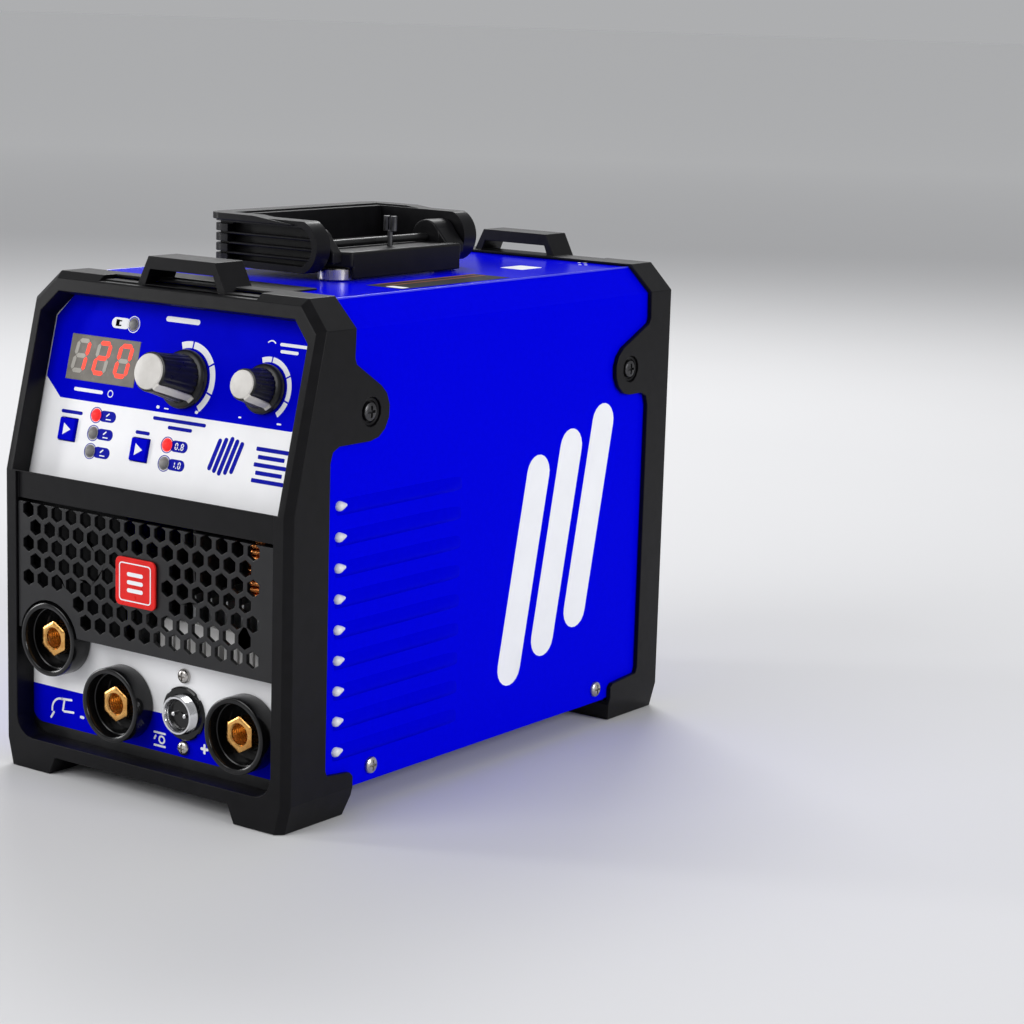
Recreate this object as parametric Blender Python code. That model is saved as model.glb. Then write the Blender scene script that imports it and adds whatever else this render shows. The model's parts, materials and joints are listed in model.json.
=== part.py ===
"""Compact inverter MIG welding machine, as separate pieces.

X runs to the machine's right as seen from its front, Y runs from front to back, Z is up.
The origin is at the bottom centre of the whole machine's bounding box.
Named sizes are in millimetres. Depths are measured from the front bezel's front face,
and mesh_object() turns both into metres in the machine's frame.
"""

import math

import bmesh
import bpy
from mathutils import Matrix, Vector

MM = 0.001
GAP = 0.3

# Overall body, without the handle
WIDTH = 162.0
HEIGHT = 214.0
DEPTH = 274.0
CORNER = 12.0
HALF = WIDTH / 2

# Front bezel: the control panel part leans back above the knee
KNEE_Z = 130.0
LEAN_RUN = 21.0
LEAN = math.atan2(LEAN_RUN, HEIGHT - KNEE_Z)
RIM_CHAMFER = 3.0
SLAB = 10.0
RIM_X = 74.5
MOUTH_X = 72.5
MOUTH_LOW = 13.8
MOUTH_HIGH = 118.4
MOUTH_RADIUS = 9.0
WING_LOW = 24.5
WING_TOP = 40.0
LUG_Y = 49.6
REAR_WING = 19.8
REAR_LUG_Y = 239.0
LUG_Z = 167.4
LUG_RADIUS = 12.0
LUG_RECESS = 1.6
FOOT_LENGTH = 42.0
FOOT_HIGH = 18.5
FOOT_INNER_X = 53.0
FOOT_SLOPE = 3.5
UNDERSIDE_Z = 7.7
WALL_X = 78.8
FLOOR_Z = 10.2
CEILING_Z = 212.8

# Guards: the low hoops on top of both bezels
GUARD_TOP = 224.0
GUARD_HALF_TOP = 18.5
GUARD_HALF_BASE = 25.0
GUARD_WINDOW_X = 17.5
GUARD_WINDOW_TOP = 218.6
GUARD_FRONT_Y = (24.0, 41.0)
GUARD_REAR_Y = (256.0, 272.0)
NOTCH_X = 44.0
NOTCH_Z = 211.6

# Sheet-metal case
COVER_X = 78.5
COVER_TOP = 212.5
COVER_FOLD = 11.3
COVER_LOW = 11.8
SHEET = 1.2
COVER_FRONT_LOW = 14.0
COVER_FRONT_TOP = 36.5
COVER_REAR = 260.5
REAR_PANEL_Y = 261.7

# Spool door in the left side of the cover
DOOR_Y = (64.0, 222.0)
DOOR_Z = (30.0, 192.0)

# Control panel, measured along the leaning face from the knee
PANEL_RECESS = 10.3
PANEL_THICK = 2.0
PANEL_X = 77.0
CURRENT_KNOB = (5.0, 49.0)
TRIM_KNOB = (48.5, 49.6)
CURRENT_KNOB_LONG = 22.5
TRIM_KNOB_LONG = 15.0
DISPLAY = (-63.2, -23.2, 42.4, 62.0)
PROCESS_BUTTON = (-56.2, 21.1)
WIRE_BUTTON = (-13.4, 17.4)
BUTTON_W = 9.4
BUTTON_H = 9.6
LEDS = ((-41.5, 28.9), (-41.5, 21.2), (-41.5, 13.5), (1.1, 21.3), (1.1, 13.6), (-29.2, 68.8))
LED_RADIUS = 2.4
BOARD_DEPTH = 20.0
SHAFT = 3.0

# Connector panel and vent grille
CONNECTOR_TOP = 62.8
GRILLE_FRONT = 1.0
GRILLE_THICK = 2.0
GRILLE_LOW = 62.0
HEX_PITCH = 8.5
HEX_RADIUS = 3.6
HEX_FIRST_X = -66.0
HEX_TOP_Z = 114.0
HEX_ROWS = 7
HEX_COLUMNS = 16
BADGE = (-13.3, 9.2, 81.5, 102.0)
TORCH_SOCKET = (-54.0, 59.0)
NEGATIVE_SOCKET = (-17.3, 36.8)
POSITIVE_SOCKET = (52.3, 36.7)
SOCKET_RADIUS = 16.0
SOCKET_INNER = 13.4
SOCKET_DEPTH = 13.0
SOCKET_NECK = 14.7
TRIGGER_SOCKET = (16.4, 37.7)

# Handle: a bail that lies folded over the left half of the cover
PIVOT_X = 13.0
PIVOT_Z = 227.0
BAIL_LEFT = -36.0
BAIL_THICK = 9.0
BAIL_LOW = 216.0
BAIL_HIGH = 238.0
BAIL_FRONT = 80.0
BAIL_REAR = 192.0
BRACKET_X = (-20.0, 26.0)
BRACKET_Z = (218.2, 224.8)

SPACER_XY = ((20.0, 98.0), (20.0, 174.0))
SPACER_RADIUS = 7.5
ROD_RADIUS = 3.0

# Fasteners
SIDE_SCREW_Y = (56.0, 222.0)
SIDE_SCREW_Z = 17.8
PANEL_SCREWS = ((16.3, 53.7), (16.3, 22.8))
LATCH_YZ = (74.0, 112.0)
KNUCKLES = ((34.0, 82.0), (140.0, 188.0))
HOLE = 1.9
SHANK = 1.5

# Wire feeder and spool in the left compartment
DIVIDER_X = -3.0
SPOOL_X = (-62.0, -17.0)
SPOOL_YZ = (186.0, 115.0)
SPOOL_RADIUS = 50.0
WOUND_RADIUS = 43.0
FEED_X = (-44.0, -40.0)
WIRE_X = -54.0
DRIVE_YZ = (64.0, 46.5)
DRIVE_RADIUS = 12.4
PRESS_YZ = (64.0, 68.3)
PRESS_RADIUS = 9.0
ARM_PIVOT = (94.0, 76.0)
FAN_XZ = (29.0, 110.0)
FAN_SIZE = 76.0
FAN_BORE = 35.5
FAN_Y = (235.8, 261.2)
SWITCH_XZ = (-37.0, 165.0)
ROCKER_TILT = 8.0
GLAND_XZ = (-37.0, 45.0)
GLAND_PROUD = 12.0

# How far the current knob's cap stands in front of the bezel, and the depth of the origin
CAP_RADIUS = 8.3
KNOB_FACE = PANEL_RECESS - CURRENT_KNOB_LONG
CAP_EDGE = 0.4
KNOB_PROUD = -((CURRENT_KNOB[1] - CAP_RADIUS + CAP_EDGE) * math.sin(LEAN) + KNOB_FACE * math.cos(LEAN))
ORIGIN_DEPTH = (DEPTH + GLAND_PROUD - KNOB_PROUD) / 2

COLOURS = {
    "black_plastic": ((0.018, 0.018, 0.02), 0.45, 0.0),
    "blue_paint": ((0.0, 0.004, 0.62), 0.3, 0.0),
    "panel_film": ((0.75, 0.76, 0.78), 0.3, 0.0),
    "grey_cap": ((0.6, 0.59, 0.57), 0.5, 0.0),
    "steel": ((0.55, 0.55, 0.56), 0.3, 1.0),
    "zinc": ((0.6, 0.6, 0.6), 0.45, 1.0),
    "brass": ((0.75, 0.5, 0.2), 0.3, 1.0),
    "chrome": ((0.8, 0.8, 0.82), 0.12, 1.0),
    "aluminium": ((0.7, 0.7, 0.71), 0.4, 1.0),
    "copper": ((0.7, 0.3, 0.12), 0.35, 1.0),
    "board_green": ((0.02, 0.14, 0.07), 0.5, 0.0),
    "red_plastic": ((0.7, 0.02, 0.02), 0.35, 0.0),
    "smoked_lens": ((0.09, 0.09, 0.1), 0.15, 0.0),
    "orange_plastic": ((0.8, 0.25, 0.02), 0.45, 0.0),
}


# ---------------------------------------------------------------- helpers


def clear_scene():
    for item in list(bpy.data.objects):
        bpy.data.objects.remove(item)


def material(name):
    found = bpy.data.materials.get(name)
    if found:
        return found
    colour, roughness, metallic = COLOURS[name]
    made = bpy.data.materials.new(name)
    made.use_nodes = True
    shader = made.node_tree.nodes["Principled BSDF"]
    shader.inputs["Base Color"].default_value = (*colour, 1.0)
    shader.inputs["Roughness"].default_value = roughness
    shader.inputs["Metallic"].default_value = metallic
    made.diffuse_color = (*colour, 1.0)
    return made


def mesh_object(name, bm, finish="black_plastic", pivot=None):
    """Makes an object from a bmesh in millimetres. A pivot becomes the object's origin."""
    bmesh.ops.recalc_face_normals(bm, faces=bm.faces)
    frame = Matrix.Scale(MM, 4) @ Matrix.Translation((0, -ORIGIN_DEPTH, 0))
    bmesh.ops.transform(bm, matrix=frame, verts=bm.verts)
    mesh = bpy.data.meshes.new(name)
    bm.to_mesh(mesh)
    bm.free()
    made = bpy.data.objects.new(name, mesh)
    bpy.context.scene.collection.objects.link(made)
    mesh.materials.append(material(finish))
    if pivot:
        move_origin(made, frame @ Vector(pivot))
    return made


def move_origin(item, point):
    item.data.transform(Matrix.Translation(-point))
    item.location = point


def solid_from_rings(rings, caps=None):
    """Joins equal closed rings of points in order and closes both ends."""
    bm = bmesh.new()
    count = len(rings[0])
    rows = [[bm.verts.new(point) for point in ring] for ring in rings]
    for low, high in zip(rows, rows[1:]):
        for i in range(count):
            j = (i + 1) % count
            bm.faces.new((low[i], low[j], high[j], high[i]))
    for part in caps or [range(count)]:
        bm.faces.new([rows[0][i] for i in part])
    bm.faces.new(rows[-1])
    bm.normal_update()
    bmesh.ops.triangulate(bm, faces=bm.faces)
    return bm


def prism(outline, axis, low, high):
    """Extrudes an outline along an axis. Its pairs are the other two coordinates, in X, Y, Z order."""
    place = {
        "X": lambda a, b, t: (t, a, b),
        "Y": lambda a, b, t: (a, t, b),
        "Z": lambda a, b, t: (a, b, t),
    }[axis]
    return solid_from_rings([[place(a, b, t) for a, b in outline] for t in (low, high)])


def block(x, y, z):
    return prism([(x[0], y[0]), (x[1], y[0]), (x[1], y[1]), (x[0], y[1])], "Z", z[0], z[1])


def turned(profile, axis, centre, segments=24):
    """Turns a profile of (radius, distance) pairs about an axis. A radius of 0 closes an end."""
    turn = {
        "X": lambda r, a, t: (t, r * math.cos(a), r * math.sin(a)),
        "Y": lambda r, a, t: (r * math.cos(a), t, r * math.sin(a)),
        "Z": lambda r, a, t: (r * math.cos(a), r * math.sin(a), t),
    }[axis]
    bm = bmesh.new()
    step = 2 * math.pi / segments
    rows = []
    for radius, along in profile:
        spots = 1 if radius == 0 else segments
        points = [Vector(turn(radius, (i + 0.5) * step, along)) for i in range(spots)]
        rows.append([bm.verts.new(point + Vector(centre)) for point in points])
    closed = profile[0][0] > 0 and profile[-1][0] > 0
    pairs = list(zip(rows, rows[1:])) + ([(rows[-1], rows[0])] if closed else [])
    for low, high in pairs:
        for i in range(segments):
            j = (i + 1) % segments
            corners = [low[i % len(low)], low[j % len(low)], high[j % len(high)], high[i % len(high)]]
            bm.faces.new(list(dict.fromkeys(corners)))
    bm.normal_update()
    bmesh.ops.triangulate(bm, faces=bm.faces)
    return bm


def rod(radius, axis, centre, low, high, segments=12):
    return turned([(0, low), (radius, low), (radius, high), (0, high)], axis, centre, segments)


def tube(outer, inner, axis, centre, low, high, segments=24):
    return turned([(inner, low), (outer, low), (outer, high), (inner, high)], axis, centre, segments)


def arc(centre, radius, start, end, steps):
    """Points along an arc, in degrees, both ends included."""
    angles = [math.radians(start + (end - start) * i / steps) for i in range(steps + 1)]
    return [(centre[0] + radius * math.cos(a), centre[1] + radius * math.sin(a)) for a in angles]


def mirrored(points):
    """Adds the left half to a right-hand outline that runs from bottom to top."""
    return points + [(-x, z) for x, z in reversed(points)]


def boolean_with(target, tool, operation):
    """Cuts, joins or trims the target with another object, which is used up."""
    change = target.modifiers.new("change", "BOOLEAN")
    change.operation = operation
    change.solver = "EXACT"
    change.object = tool
    graph = bpy.context.evaluated_depsgraph_get()
    mesh = bpy.data.meshes.new_from_object(target.evaluated_get(graph))
    target.modifiers.clear()
    target.data = mesh
    bpy.data.objects.remove(tool)
    return target


def boolean(target, bm, operation):
    return boolean_with(target, mesh_object("tool", bm), operation)


def cut(target, *tools):
    for bm in tools:
        boolean(target, bm, "DIFFERENCE")
    return target


def join(target, *tools):
    for bm in tools:
        boolean(target, bm, "UNION")
    return target


def leaning(bm):
    """Places a bmesh drawn as (x, depth, height up the face) on the leaning control face."""
    frame = Matrix.Translation((0, 0, KNEE_Z)) @ Matrix.Rotation(-LEAN, 4, "X")
    bmesh.ops.transform(bm, matrix=frame, verts=bm.verts)
    return bm


def on_face(x, depth, up):
    """A point of the leaning control face, as a point of the machine."""
    return (
        x,
        up * math.sin(LEAN) + depth * math.cos(LEAN),
        KNEE_Z + up * math.cos(LEAN) - depth * math.sin(LEAN),
    )


def setback(z):
    """How far the front surface leans back at a height."""
    return max(0.0, z - KNEE_Z) * LEAN_RUN / (HEIGHT - KNEE_Z)


# ---------------------------------------------------------------- bezels


def bezel_outline(inset=0.0, knee=()):
    """Front view of a bezel's outer edge, from the right foot round to the left one."""
    right = [
        (HALF - 3.0 - inset, 0),
        (HALF - inset, CORNER),
        *((HALF - inset, z) for z in knee),
        (HALF - inset, HEIGHT - CORNER - inset * 0.4),
        (HALF - CORNER - inset * 0.4, HEIGHT - inset),
    ]
    return mirrored(right)


def foot_gap():
    """The space between a bezel's two feet."""
    slope = FOOT_SLOPE / UNDERSIDE_Z
    right = [(FOOT_INNER_X + 5 * slope, -5), (FOOT_INNER_X - FOOT_SLOPE, UNDERSIDE_Z)]
    return prism(mirrored(right), "Y", -5, DEPTH + 5)


def bezel_side_outline(face, lug_y, wing_low, wing_top):
    """Side view of a bezel wing with its foot and screw lug, as depths behind the bezel's face."""
    return [
        (face, -5),
        (FOOT_LENGTH - 3, -5),
        (FOOT_LENGTH - 3, 0),
        (FOOT_LENGTH, 8),
        (FOOT_LENGTH, FOOT_HIGH - 2),
        (FOOT_LENGTH - 2, FOOT_HIGH),
        (wing_low + 1, FOOT_HIGH + 1.5),
        (wing_low, FOOT_HIGH + 4),
        (wing_low, 149),
        (wing_low + 1.5, 153.5),
        (wing_low + 5.5, LUG_Z - LUG_RADIUS),
        *arc((lug_y, LUG_Z), LUG_RADIUS, -90, 58, 6),
        (wing_top, 187.5),
        (wing_top - 1, 190),
        (wing_top, HEIGHT + 5),
        (face, HEIGHT + 5),
    ]


def cover_section(grow=0.0, low=COVER_LOW):
    """Cross-section of the case cover's outer surface, grown outwards."""
    return mirrored(
        [
            (COVER_X + grow, low),
            (COVER_X + grow, COVER_TOP - COVER_FOLD + grow * 0.4),
            (COVER_X - COVER_FOLD + grow * 0.4, COVER_TOP + grow),
        ]
    )


def guard(y):
    """The hoop on top of a bezel, with a see-through slot under its bar."""
    low = NOTCH_Z - 0.4
    outline = [
        (-GUARD_HALF_BASE, low),
        (-GUARD_HALF_TOP, GUARD_TOP),
        (GUARD_HALF_TOP, GUARD_TOP),
        (GUARD_HALF_BASE, low),
        (GUARD_WINDOW_X + 3, low),
        (GUARD_WINDOW_X, GUARD_WINDOW_TOP),
        (-GUARD_WINDOW_X, GUARD_WINDOW_TOP),
        (-GUARD_WINDOW_X - 3, low),
    ]
    return prism(outline, "Y", *y)


def through_side(side, y, z, radius, inner=70.0, outer=90.0, segments=8):
    """A short rod along X through one side wall."""
    low, high = sorted((side * inner, side * outer))
    return rod(radius, "X", (0, y, z), low, high, segments)


def lug_holes(body, y):
    for side in (-1, 1):
        cut(body, through_side(side, y, LUG_Z, 6.2, HALF - LUG_RECESS, 90.0, 14))
        cut(body, through_side(side, y, LUG_Z, HOLE))


def bezel_cavity(outline_yz):
    """The space inside a bezel that takes the cover and the panels behind the rim."""
    cavity = mesh_object("cavity", prism(outline_yz, "X", -WALL_X, WALL_X))
    section = cover_section(GAP, FLOOR_Z)
    return boolean(cavity, prism(section, "Y", -20, DEPTH + 20), "INTERSECT")


def front_bezel():
    back = 70.0
    inset = bezel_outline(RIM_CHAMFER, (KNEE_Z,))
    full = bezel_outline(0, (KNEE_Z,))
    rings = [
        [(x, setback(z), z) for x, z in inset],
        [(x, setback(z) + RIM_CHAMFER, z) for x, z in full],
        [(x, back, z) for x, z in full],
    ]
    knee_right, knee_left, last = 2, 7, 10
    upper = list(range(knee_right, knee_left + 1))
    lower = list(range(knee_left, last)) + list(range(0, knee_right + 1))
    body = mesh_object("front_bezel", solid_from_rings(rings, [upper, lower]))
    boolean(body, prism(bezel_side_outline(-5, LUG_Y, WING_LOW, WING_TOP), "X", -90, 90), "INTERSECT")
    notch = block((-NOTCH_X, NOTCH_X), (10, 31), (NOTCH_Z, HEIGHT + 5))
    cut(body, notch, foot_gap())
    join(body, guard(GUARD_FRONT_Y))
    cut(body, front_mouth(), control_mouth())
    cut(body, block((-MOUTH_X, MOUTH_X), (-5, 1.5), (MOUTH_HIGH - 1, KNEE_Z)))
    top = on_face(0, SLAB, 80.5)
    knee = on_face(0, SLAB, -4)
    cavity = [
        (SLAB, FLOOR_Z),
        (SLAB, knee[2] - 2),
        (knee[1], knee[2]),
        (top[1], top[2]),
        (top[1] + 1.5, CEILING_Z + 5),
        (back + 5, CEILING_Z + 5),
        (back + 5, FLOOR_Z),
    ]
    boolean_with(body, bezel_cavity(cavity), "DIFFERENCE")
    lug_holes(body, LUG_Y)
    return body


def front_mouth():
    """The lower opening, with rounded bottom corners."""
    corner = (MOUTH_X - MOUTH_RADIUS, MOUTH_LOW + MOUTH_RADIUS)
    right = arc(corner, MOUTH_RADIUS, -90, 0, 4) + [(MOUTH_X, MOUTH_HIGH)]
    return prism(mirrored(right), "Y", -5, SLAB + 2)


def control_mouth():
    """The opening for the control panel, with chamfered top corners."""
    right = [(RIM_X, 0.5), (RIM_X, 69), (RIM_X - 8.7, 78.2)]
    return leaning(prism(mirrored(right), "Y", -5, SLAB + 2))


def rear_bezel():
    rings = [
        [(x, DEPTH, z) for x, z in bezel_outline(RIM_CHAMFER)],
        [(x, DEPTH - RIM_CHAMFER, z) for x, z in bezel_outline()],
        [(x, DEPTH - 70, z) for x, z in bezel_outline()],
    ]
    body = mesh_object("rear_bezel", solid_from_rings(rings))
    side = bezel_side_outline(-5, DEPTH - REAR_LUG_Y, REAR_WING, REAR_WING + 0.5)
    boolean(body, prism([(DEPTH - y, z) for y, z in side], "X", -90, 90), "INTERSECT")
    cut(body, block((-NOTCH_X, NOTCH_X), (DEPTH - 6, DEPTH + 5), (NOTCH_Z, HEIGHT + 5)), foot_gap())
    join(body, guard(GUARD_REAR_Y))
    mouth = mirrored([(68, 16), (70, 18), (70, 188), (61, 198)])
    cut(body, prism(mouth, "Y", DEPTH - SLAB - 2, DEPTH + 5))
    slab, far = DEPTH - SLAB, DEPTH - 80
    cavity = [(slab, FLOOR_Z), (slab, CEILING_Z + 5), (far, CEILING_Z + 5), (far, FLOOR_Z)]
    boolean_with(body, bezel_cavity(cavity), "DIFFERENCE")
    lug_holes(body, REAR_LUG_Y)
    return body


# ---------------------------------------------------------------- case


def case_cover():
    """A folded U of sheet steel, with the spool door's opening in its left side."""
    inner = cover_section(-SHEET, -20)
    cover = mesh_object("case_cover", prism(cover_section(), "Y", 0, COVER_REAR), "blue_paint")
    cut(cover, prism(inner, "Y", -5, COVER_REAR + 5))
    ahead = [
        (-5, 0),
        (COVER_FRONT_LOW, 0),
        (COVER_FRONT_LOW, KNEE_Z + 4),
        (COVER_FRONT_TOP, HEIGHT + 3),
        (-5, HEIGHT + 3),
    ]
    cut(cover, prism(ahead, "X", -90, 90))
    cut(cover, block((-90, -70), DOOR_Y, DOOR_Z))
    for side in (-1, 1):
        for y in SIDE_SCREW_Y:
            cut(cover, through_side(side, y, SIDE_SCREW_Z, HOLE))
        for y in (LUG_Y, REAR_LUG_Y):
            cut(cover, through_side(side, y, LUG_Z, HOLE))
    for x, y in SPACER_XY:
        cut(cover, rod(2.4, "Z", (x, y, 0), COVER_TOP - 5, COVER_TOP + 5, 12))
    add_hinge(cover)
    return cover


def base_pan():
    """The floor tray. Its upturned sides take the case cover's lower screws."""
    side = COVER_X - SHEET - GAP
    low = FLOOR_Z + GAP
    y = (13.0, REAR_PANEL_Y - GAP)
    pan = mesh_object("base_pan", block((-side, side), y, (low, 26)), "blue_paint")
    cut(pan, block((SHEET - side, side - SHEET), (y[0] - 5, y[1] + 5), (low + SHEET, 40)))
    for side_sign in (-1, 1):
        for hole_y in SIDE_SCREW_Y:
            cut(pan, through_side(side_sign, hole_y, SIDE_SCREW_Z, HOLE))
    return pan


def base_top():
    return FLOOR_Z + GAP + SHEET + GAP


def divider_panel():
    """The upright wall between the wire compartment and the electronics, short of the fan."""
    x = (DIVIDER_X - SHEET / 2, DIVIDER_X + SHEET / 2)
    front, knee, rear = 36.0, 47.0, FAN_Y[0] - 1
    outline = [(front, base_top()), (front, 120), (knee, 135), (knee, 206), (rear, 206), (rear, base_top())]
    return mesh_object("divider_panel", prism(outline, "X", *x), "zinc")


def rear_panel():
    """Sheet-steel rear wall with holes for the fan, the mains switch and the cable gland."""
    outline = cover_section(-SHEET - GAP, base_top())
    panel = mesh_object("rear_panel", prism(outline, "Y", REAR_PANEL_Y, REAR_PANEL_Y + SHEET), "blue_paint")
    x, z = SWITCH_XZ
    cut(
        panel,
        rod(FAN_BORE, "Y", (FAN_XZ[0], 0, FAN_XZ[1]), REAR_PANEL_Y - 5, REAR_PANEL_Y + 5, 24),
        block((x - 10.3, x + 10.3), (REAR_PANEL_Y - 5, REAR_PANEL_Y + 5), (z - 13.3, z + 13.3)),
        rod(6.3, "Y", (GLAND_XZ[0], 0, GLAND_XZ[1]), REAR_PANEL_Y - 5, REAR_PANEL_Y + 5, 20),
    )
    return panel


def door_pivot():
    return (-COVER_X - 0.3, DOOR_Y[1] - 2.3, DOOR_Z[0])


def spool_door():
    """The left side door, with a hinge knuckle near each end of its rear edge."""
    pivot_x, pivot_y, _ = door_pivot()
    sheet = (-COVER_X, -COVER_X + SHEET)
    plate = block(sheet, (DOOR_Y[0] + 0.5, pivot_y + 0.9), (DOOR_Z[0] + 0.5, DOOR_Z[1] - 0.5))
    door = mesh_object("spool_door", plate, "blue_paint")
    cut(door, block((-85, -70), (pivot_y - 2.4, pivot_y + 5), (KNUCKLES[0][1] - 1, KNUCKLES[1][0] + 1)))
    for low, high in KNUCKLES:
        join(door, rod(1.8, "Z", (pivot_x, pivot_y, 0), low, high, 12))
        cut(door, rod(1.1, "Z", (pivot_x, pivot_y, 0), low - 5, high + 5, 10))
    cut(door, rod(3.2, "X", (0, *LATCH_YZ), -85, -70, 14))
    move_origin(door, machine_point(door_pivot()))
    return door


def add_hinge(cover):
    """Welds the fixed hinge leaf to the cover, with its knuckle and the pin that carries the door."""
    pivot_x, pivot_y, _ = door_pivot()
    low, high = KNUCKLES[0][1] + GAP, KNUCKLES[1][0] - GAP
    leaf = [
        (pivot_x, pivot_y + 0.6),
        (-COVER_X + SHEET / 2, DOOR_Y[1] + 1),
        (-COVER_X + SHEET / 2, DOOR_Y[1] + 9),
        (-COVER_X - SHEET, DOOR_Y[1] + 9),
        (pivot_x - 1.5, pivot_y + 0.6),
    ]
    join(cover, prism(leaf, "Z", low, high))
    join(cover, rod(1.8, "Z", (pivot_x, pivot_y, 0), low, high, 12))
    join(cover, rod(0.8, "Z", (pivot_x, pivot_y, 0), KNUCKLES[0][0], KNUCKLES[1][1], 12))


def door_latch():
    """A quarter-turn latch: an outside finger grip, a shank through the door and an inside tongue."""
    y, z = LATCH_YZ
    latch = mesh_object("door_latch", rod(2.8, "X", (0, y, z), -79.5, -74.0, 14))
    join(latch, rod(6.5, "X", (0, y, z), -79.9, -COVER_X - GAP, 14))
    join(latch, block((-81.0, -79.6), (y - 1.5, y + 1.5), (z - 6, z + 6)))
    join(latch, block((-77.0, -74.6), (y - 14, y + 2.4), (z - 3.2, z + 3.2)))
    move_origin(latch, machine_point((-COVER_X, y, z)))
    return latch


def machine_point(point):
    x, y, z = point
    return Vector((x, y - ORIGIN_DEPTH, z)) * MM


# ---------------------------------------------------------------- front panels


def face_hole(x, up, width, height):
    """A cutter for a rectangular hole in the leaning panel, given its middle and its size."""
    w, h = width / 2, height / 2
    return leaning(block((x - w, x + w), (-5, 40), (up - h, up + h)))


def face_rod(x, up, radius, low, high, segments=10):
    """A rod square to the leaning face, between two depths."""
    return leaning(rod(radius, "Y", (x, 0, up), low, high, segments))


def control_panel():
    depth = (PANEL_RECESS, PANEL_RECESS + PANEL_THICK)
    outline = mirrored([(PANEL_X, -3.4), (PANEL_X, 67.5), (66, 79.5)])
    panel = mesh_object("control_panel", leaning(prism(outline, "Y", *depth)), "panel_film")
    left, right, low, high = DISPLAY
    cut(panel, face_hole((left + right) / 2, (low + high) / 2, right - left + 0.6, high - low + 0.6))
    for x, up in (PROCESS_BUTTON, WIRE_BUTTON):
        cut(panel, face_hole(x, up, BUTTON_W + 0.6, BUTTON_H + 0.6))
    for x, up in (CURRENT_KNOB, TRIM_KNOB):
        cut(panel, face_rod(x, up, 3.6, -5, 40))
    for x, up in LEDS:
        cut(panel, face_rod(x, up, LED_RADIUS + GAP, -5, 40, 10))
    return panel


def display_module():
    left, right, low, high = DISPLAY
    body = leaning(block((left, right), (PANEL_RECESS - 0.3, BOARD_DEPTH - GAP), (low, high)))
    return mesh_object("display_module", body, "smoked_lens")


def control_board():
    """The circuit board behind the panel, with its potentiometers, lamps and key switches."""
    depth = (BOARD_DEPTH, BOARD_DEPTH + 1.6)
    board = mesh_object("control_board", leaning(block((-70, 66), depth, (5, 75))), "board_green")
    inside = BOARD_DEPTH + 0.5
    for (x, up), tip in ((CURRENT_KNOB, -3.6), (TRIM_KNOB, 1.4)):
        join(board, face_rod(x, up, 8.0, PANEL_RECESS + PANEL_THICK + GAP, inside, 12))
        join(board, face_rod(x, up, SHAFT, tip, inside))
    for x, up in LEDS:
        join(board, face_rod(x, up, LED_RADIUS, PANEL_RECESS - 0.8, inside))
    for x, up in (PROCESS_BUTTON, WIRE_BUTTON):
        join(board, face_rod(x, up, 2.0, PANEL_RECESS + 5.4, inside, 8))
    return board


def knob(name, spot, length, skirt, waist, crown, cap):
    """A pointer knob with a skirt and a blind bore, and its separate flat cap."""
    x, up = spot
    front, back = PANEL_RECESS - length, PANEL_RECESS - 0.5
    profile = [
        (0, front + 1.2),
        (crown, front + 1.2),
        (waist, back - 3.0),
        (skirt, back - 2.6),
        (skirt, back),
        (SHAFT + GAP, back),
        (SHAFT + GAP, back - length * 0.62),
        (0, back - length * 0.62),
    ]
    pivot = on_face(x, back, up)
    mesh_object(name, leaning(turned(profile, "Y", (x, 0, up), 14)), "black_plastic", pivot)
    edge = CAP_EDGE
    disc = [(0, front), (cap - edge, front), (cap, front + edge), (cap, front + 0.9), (0, front + 0.9)]
    mesh_object(name + "_cap", leaning(turned(disc, "Y", (x, 0, up), 14)), "grey_cap", pivot)


def push_button(name, spot):
    x, up = spot
    w, h = BUTTON_W / 2, BUTTON_H / 2
    depth = (PANEL_RECESS - 1.4, PANEL_RECESS + 3.6)
    key = mesh_object(name, leaning(block((x - w, x + w), depth, (up - h, up + h))), "blue_paint")
    flange = (PANEL_RECESS + PANEL_THICK + GAP, PANEL_RECESS + 3.6)
    join(key, leaning(block((x - w - 1.2, x + w + 1.2), flange, (up - h - 1.2, up + h + 1.2))))
    move_origin(key, machine_point(on_face(x, PANEL_RECESS, up)))


def connector_panel():
    low, top, shoulder = FLOOR_Z + 1.8 + GAP, CONNECTOR_TOP - GAP, 78.0
    x = PANEL_X - 0.6
    outline = [(x, low), (x, top), (-34, top), (-34, shoulder), (-x, shoulder), (-x, low)]
    panel = mesh_object("connector_panel", prism(outline, "Y", SLAB + GAP, SLAB + GAP + 2), "panel_film")
    for x, z in (TORCH_SOCKET, NEGATIVE_SOCKET, POSITIVE_SOCKET):
        cut(panel, rod(SOCKET_NECK + GAP, "Y", (x, 0, z), 5, 20, 24))
    cut(panel, rod(8.2, "Y", (TRIGGER_SOCKET[0], 0, TRIGGER_SOCKET[1]), 5, 20, 14))
    for x, z in PANEL_SCREWS:
        cut(panel, rod(HOLE, "Y", (x, 0, z), 5, 20, 12))
    return panel


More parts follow.
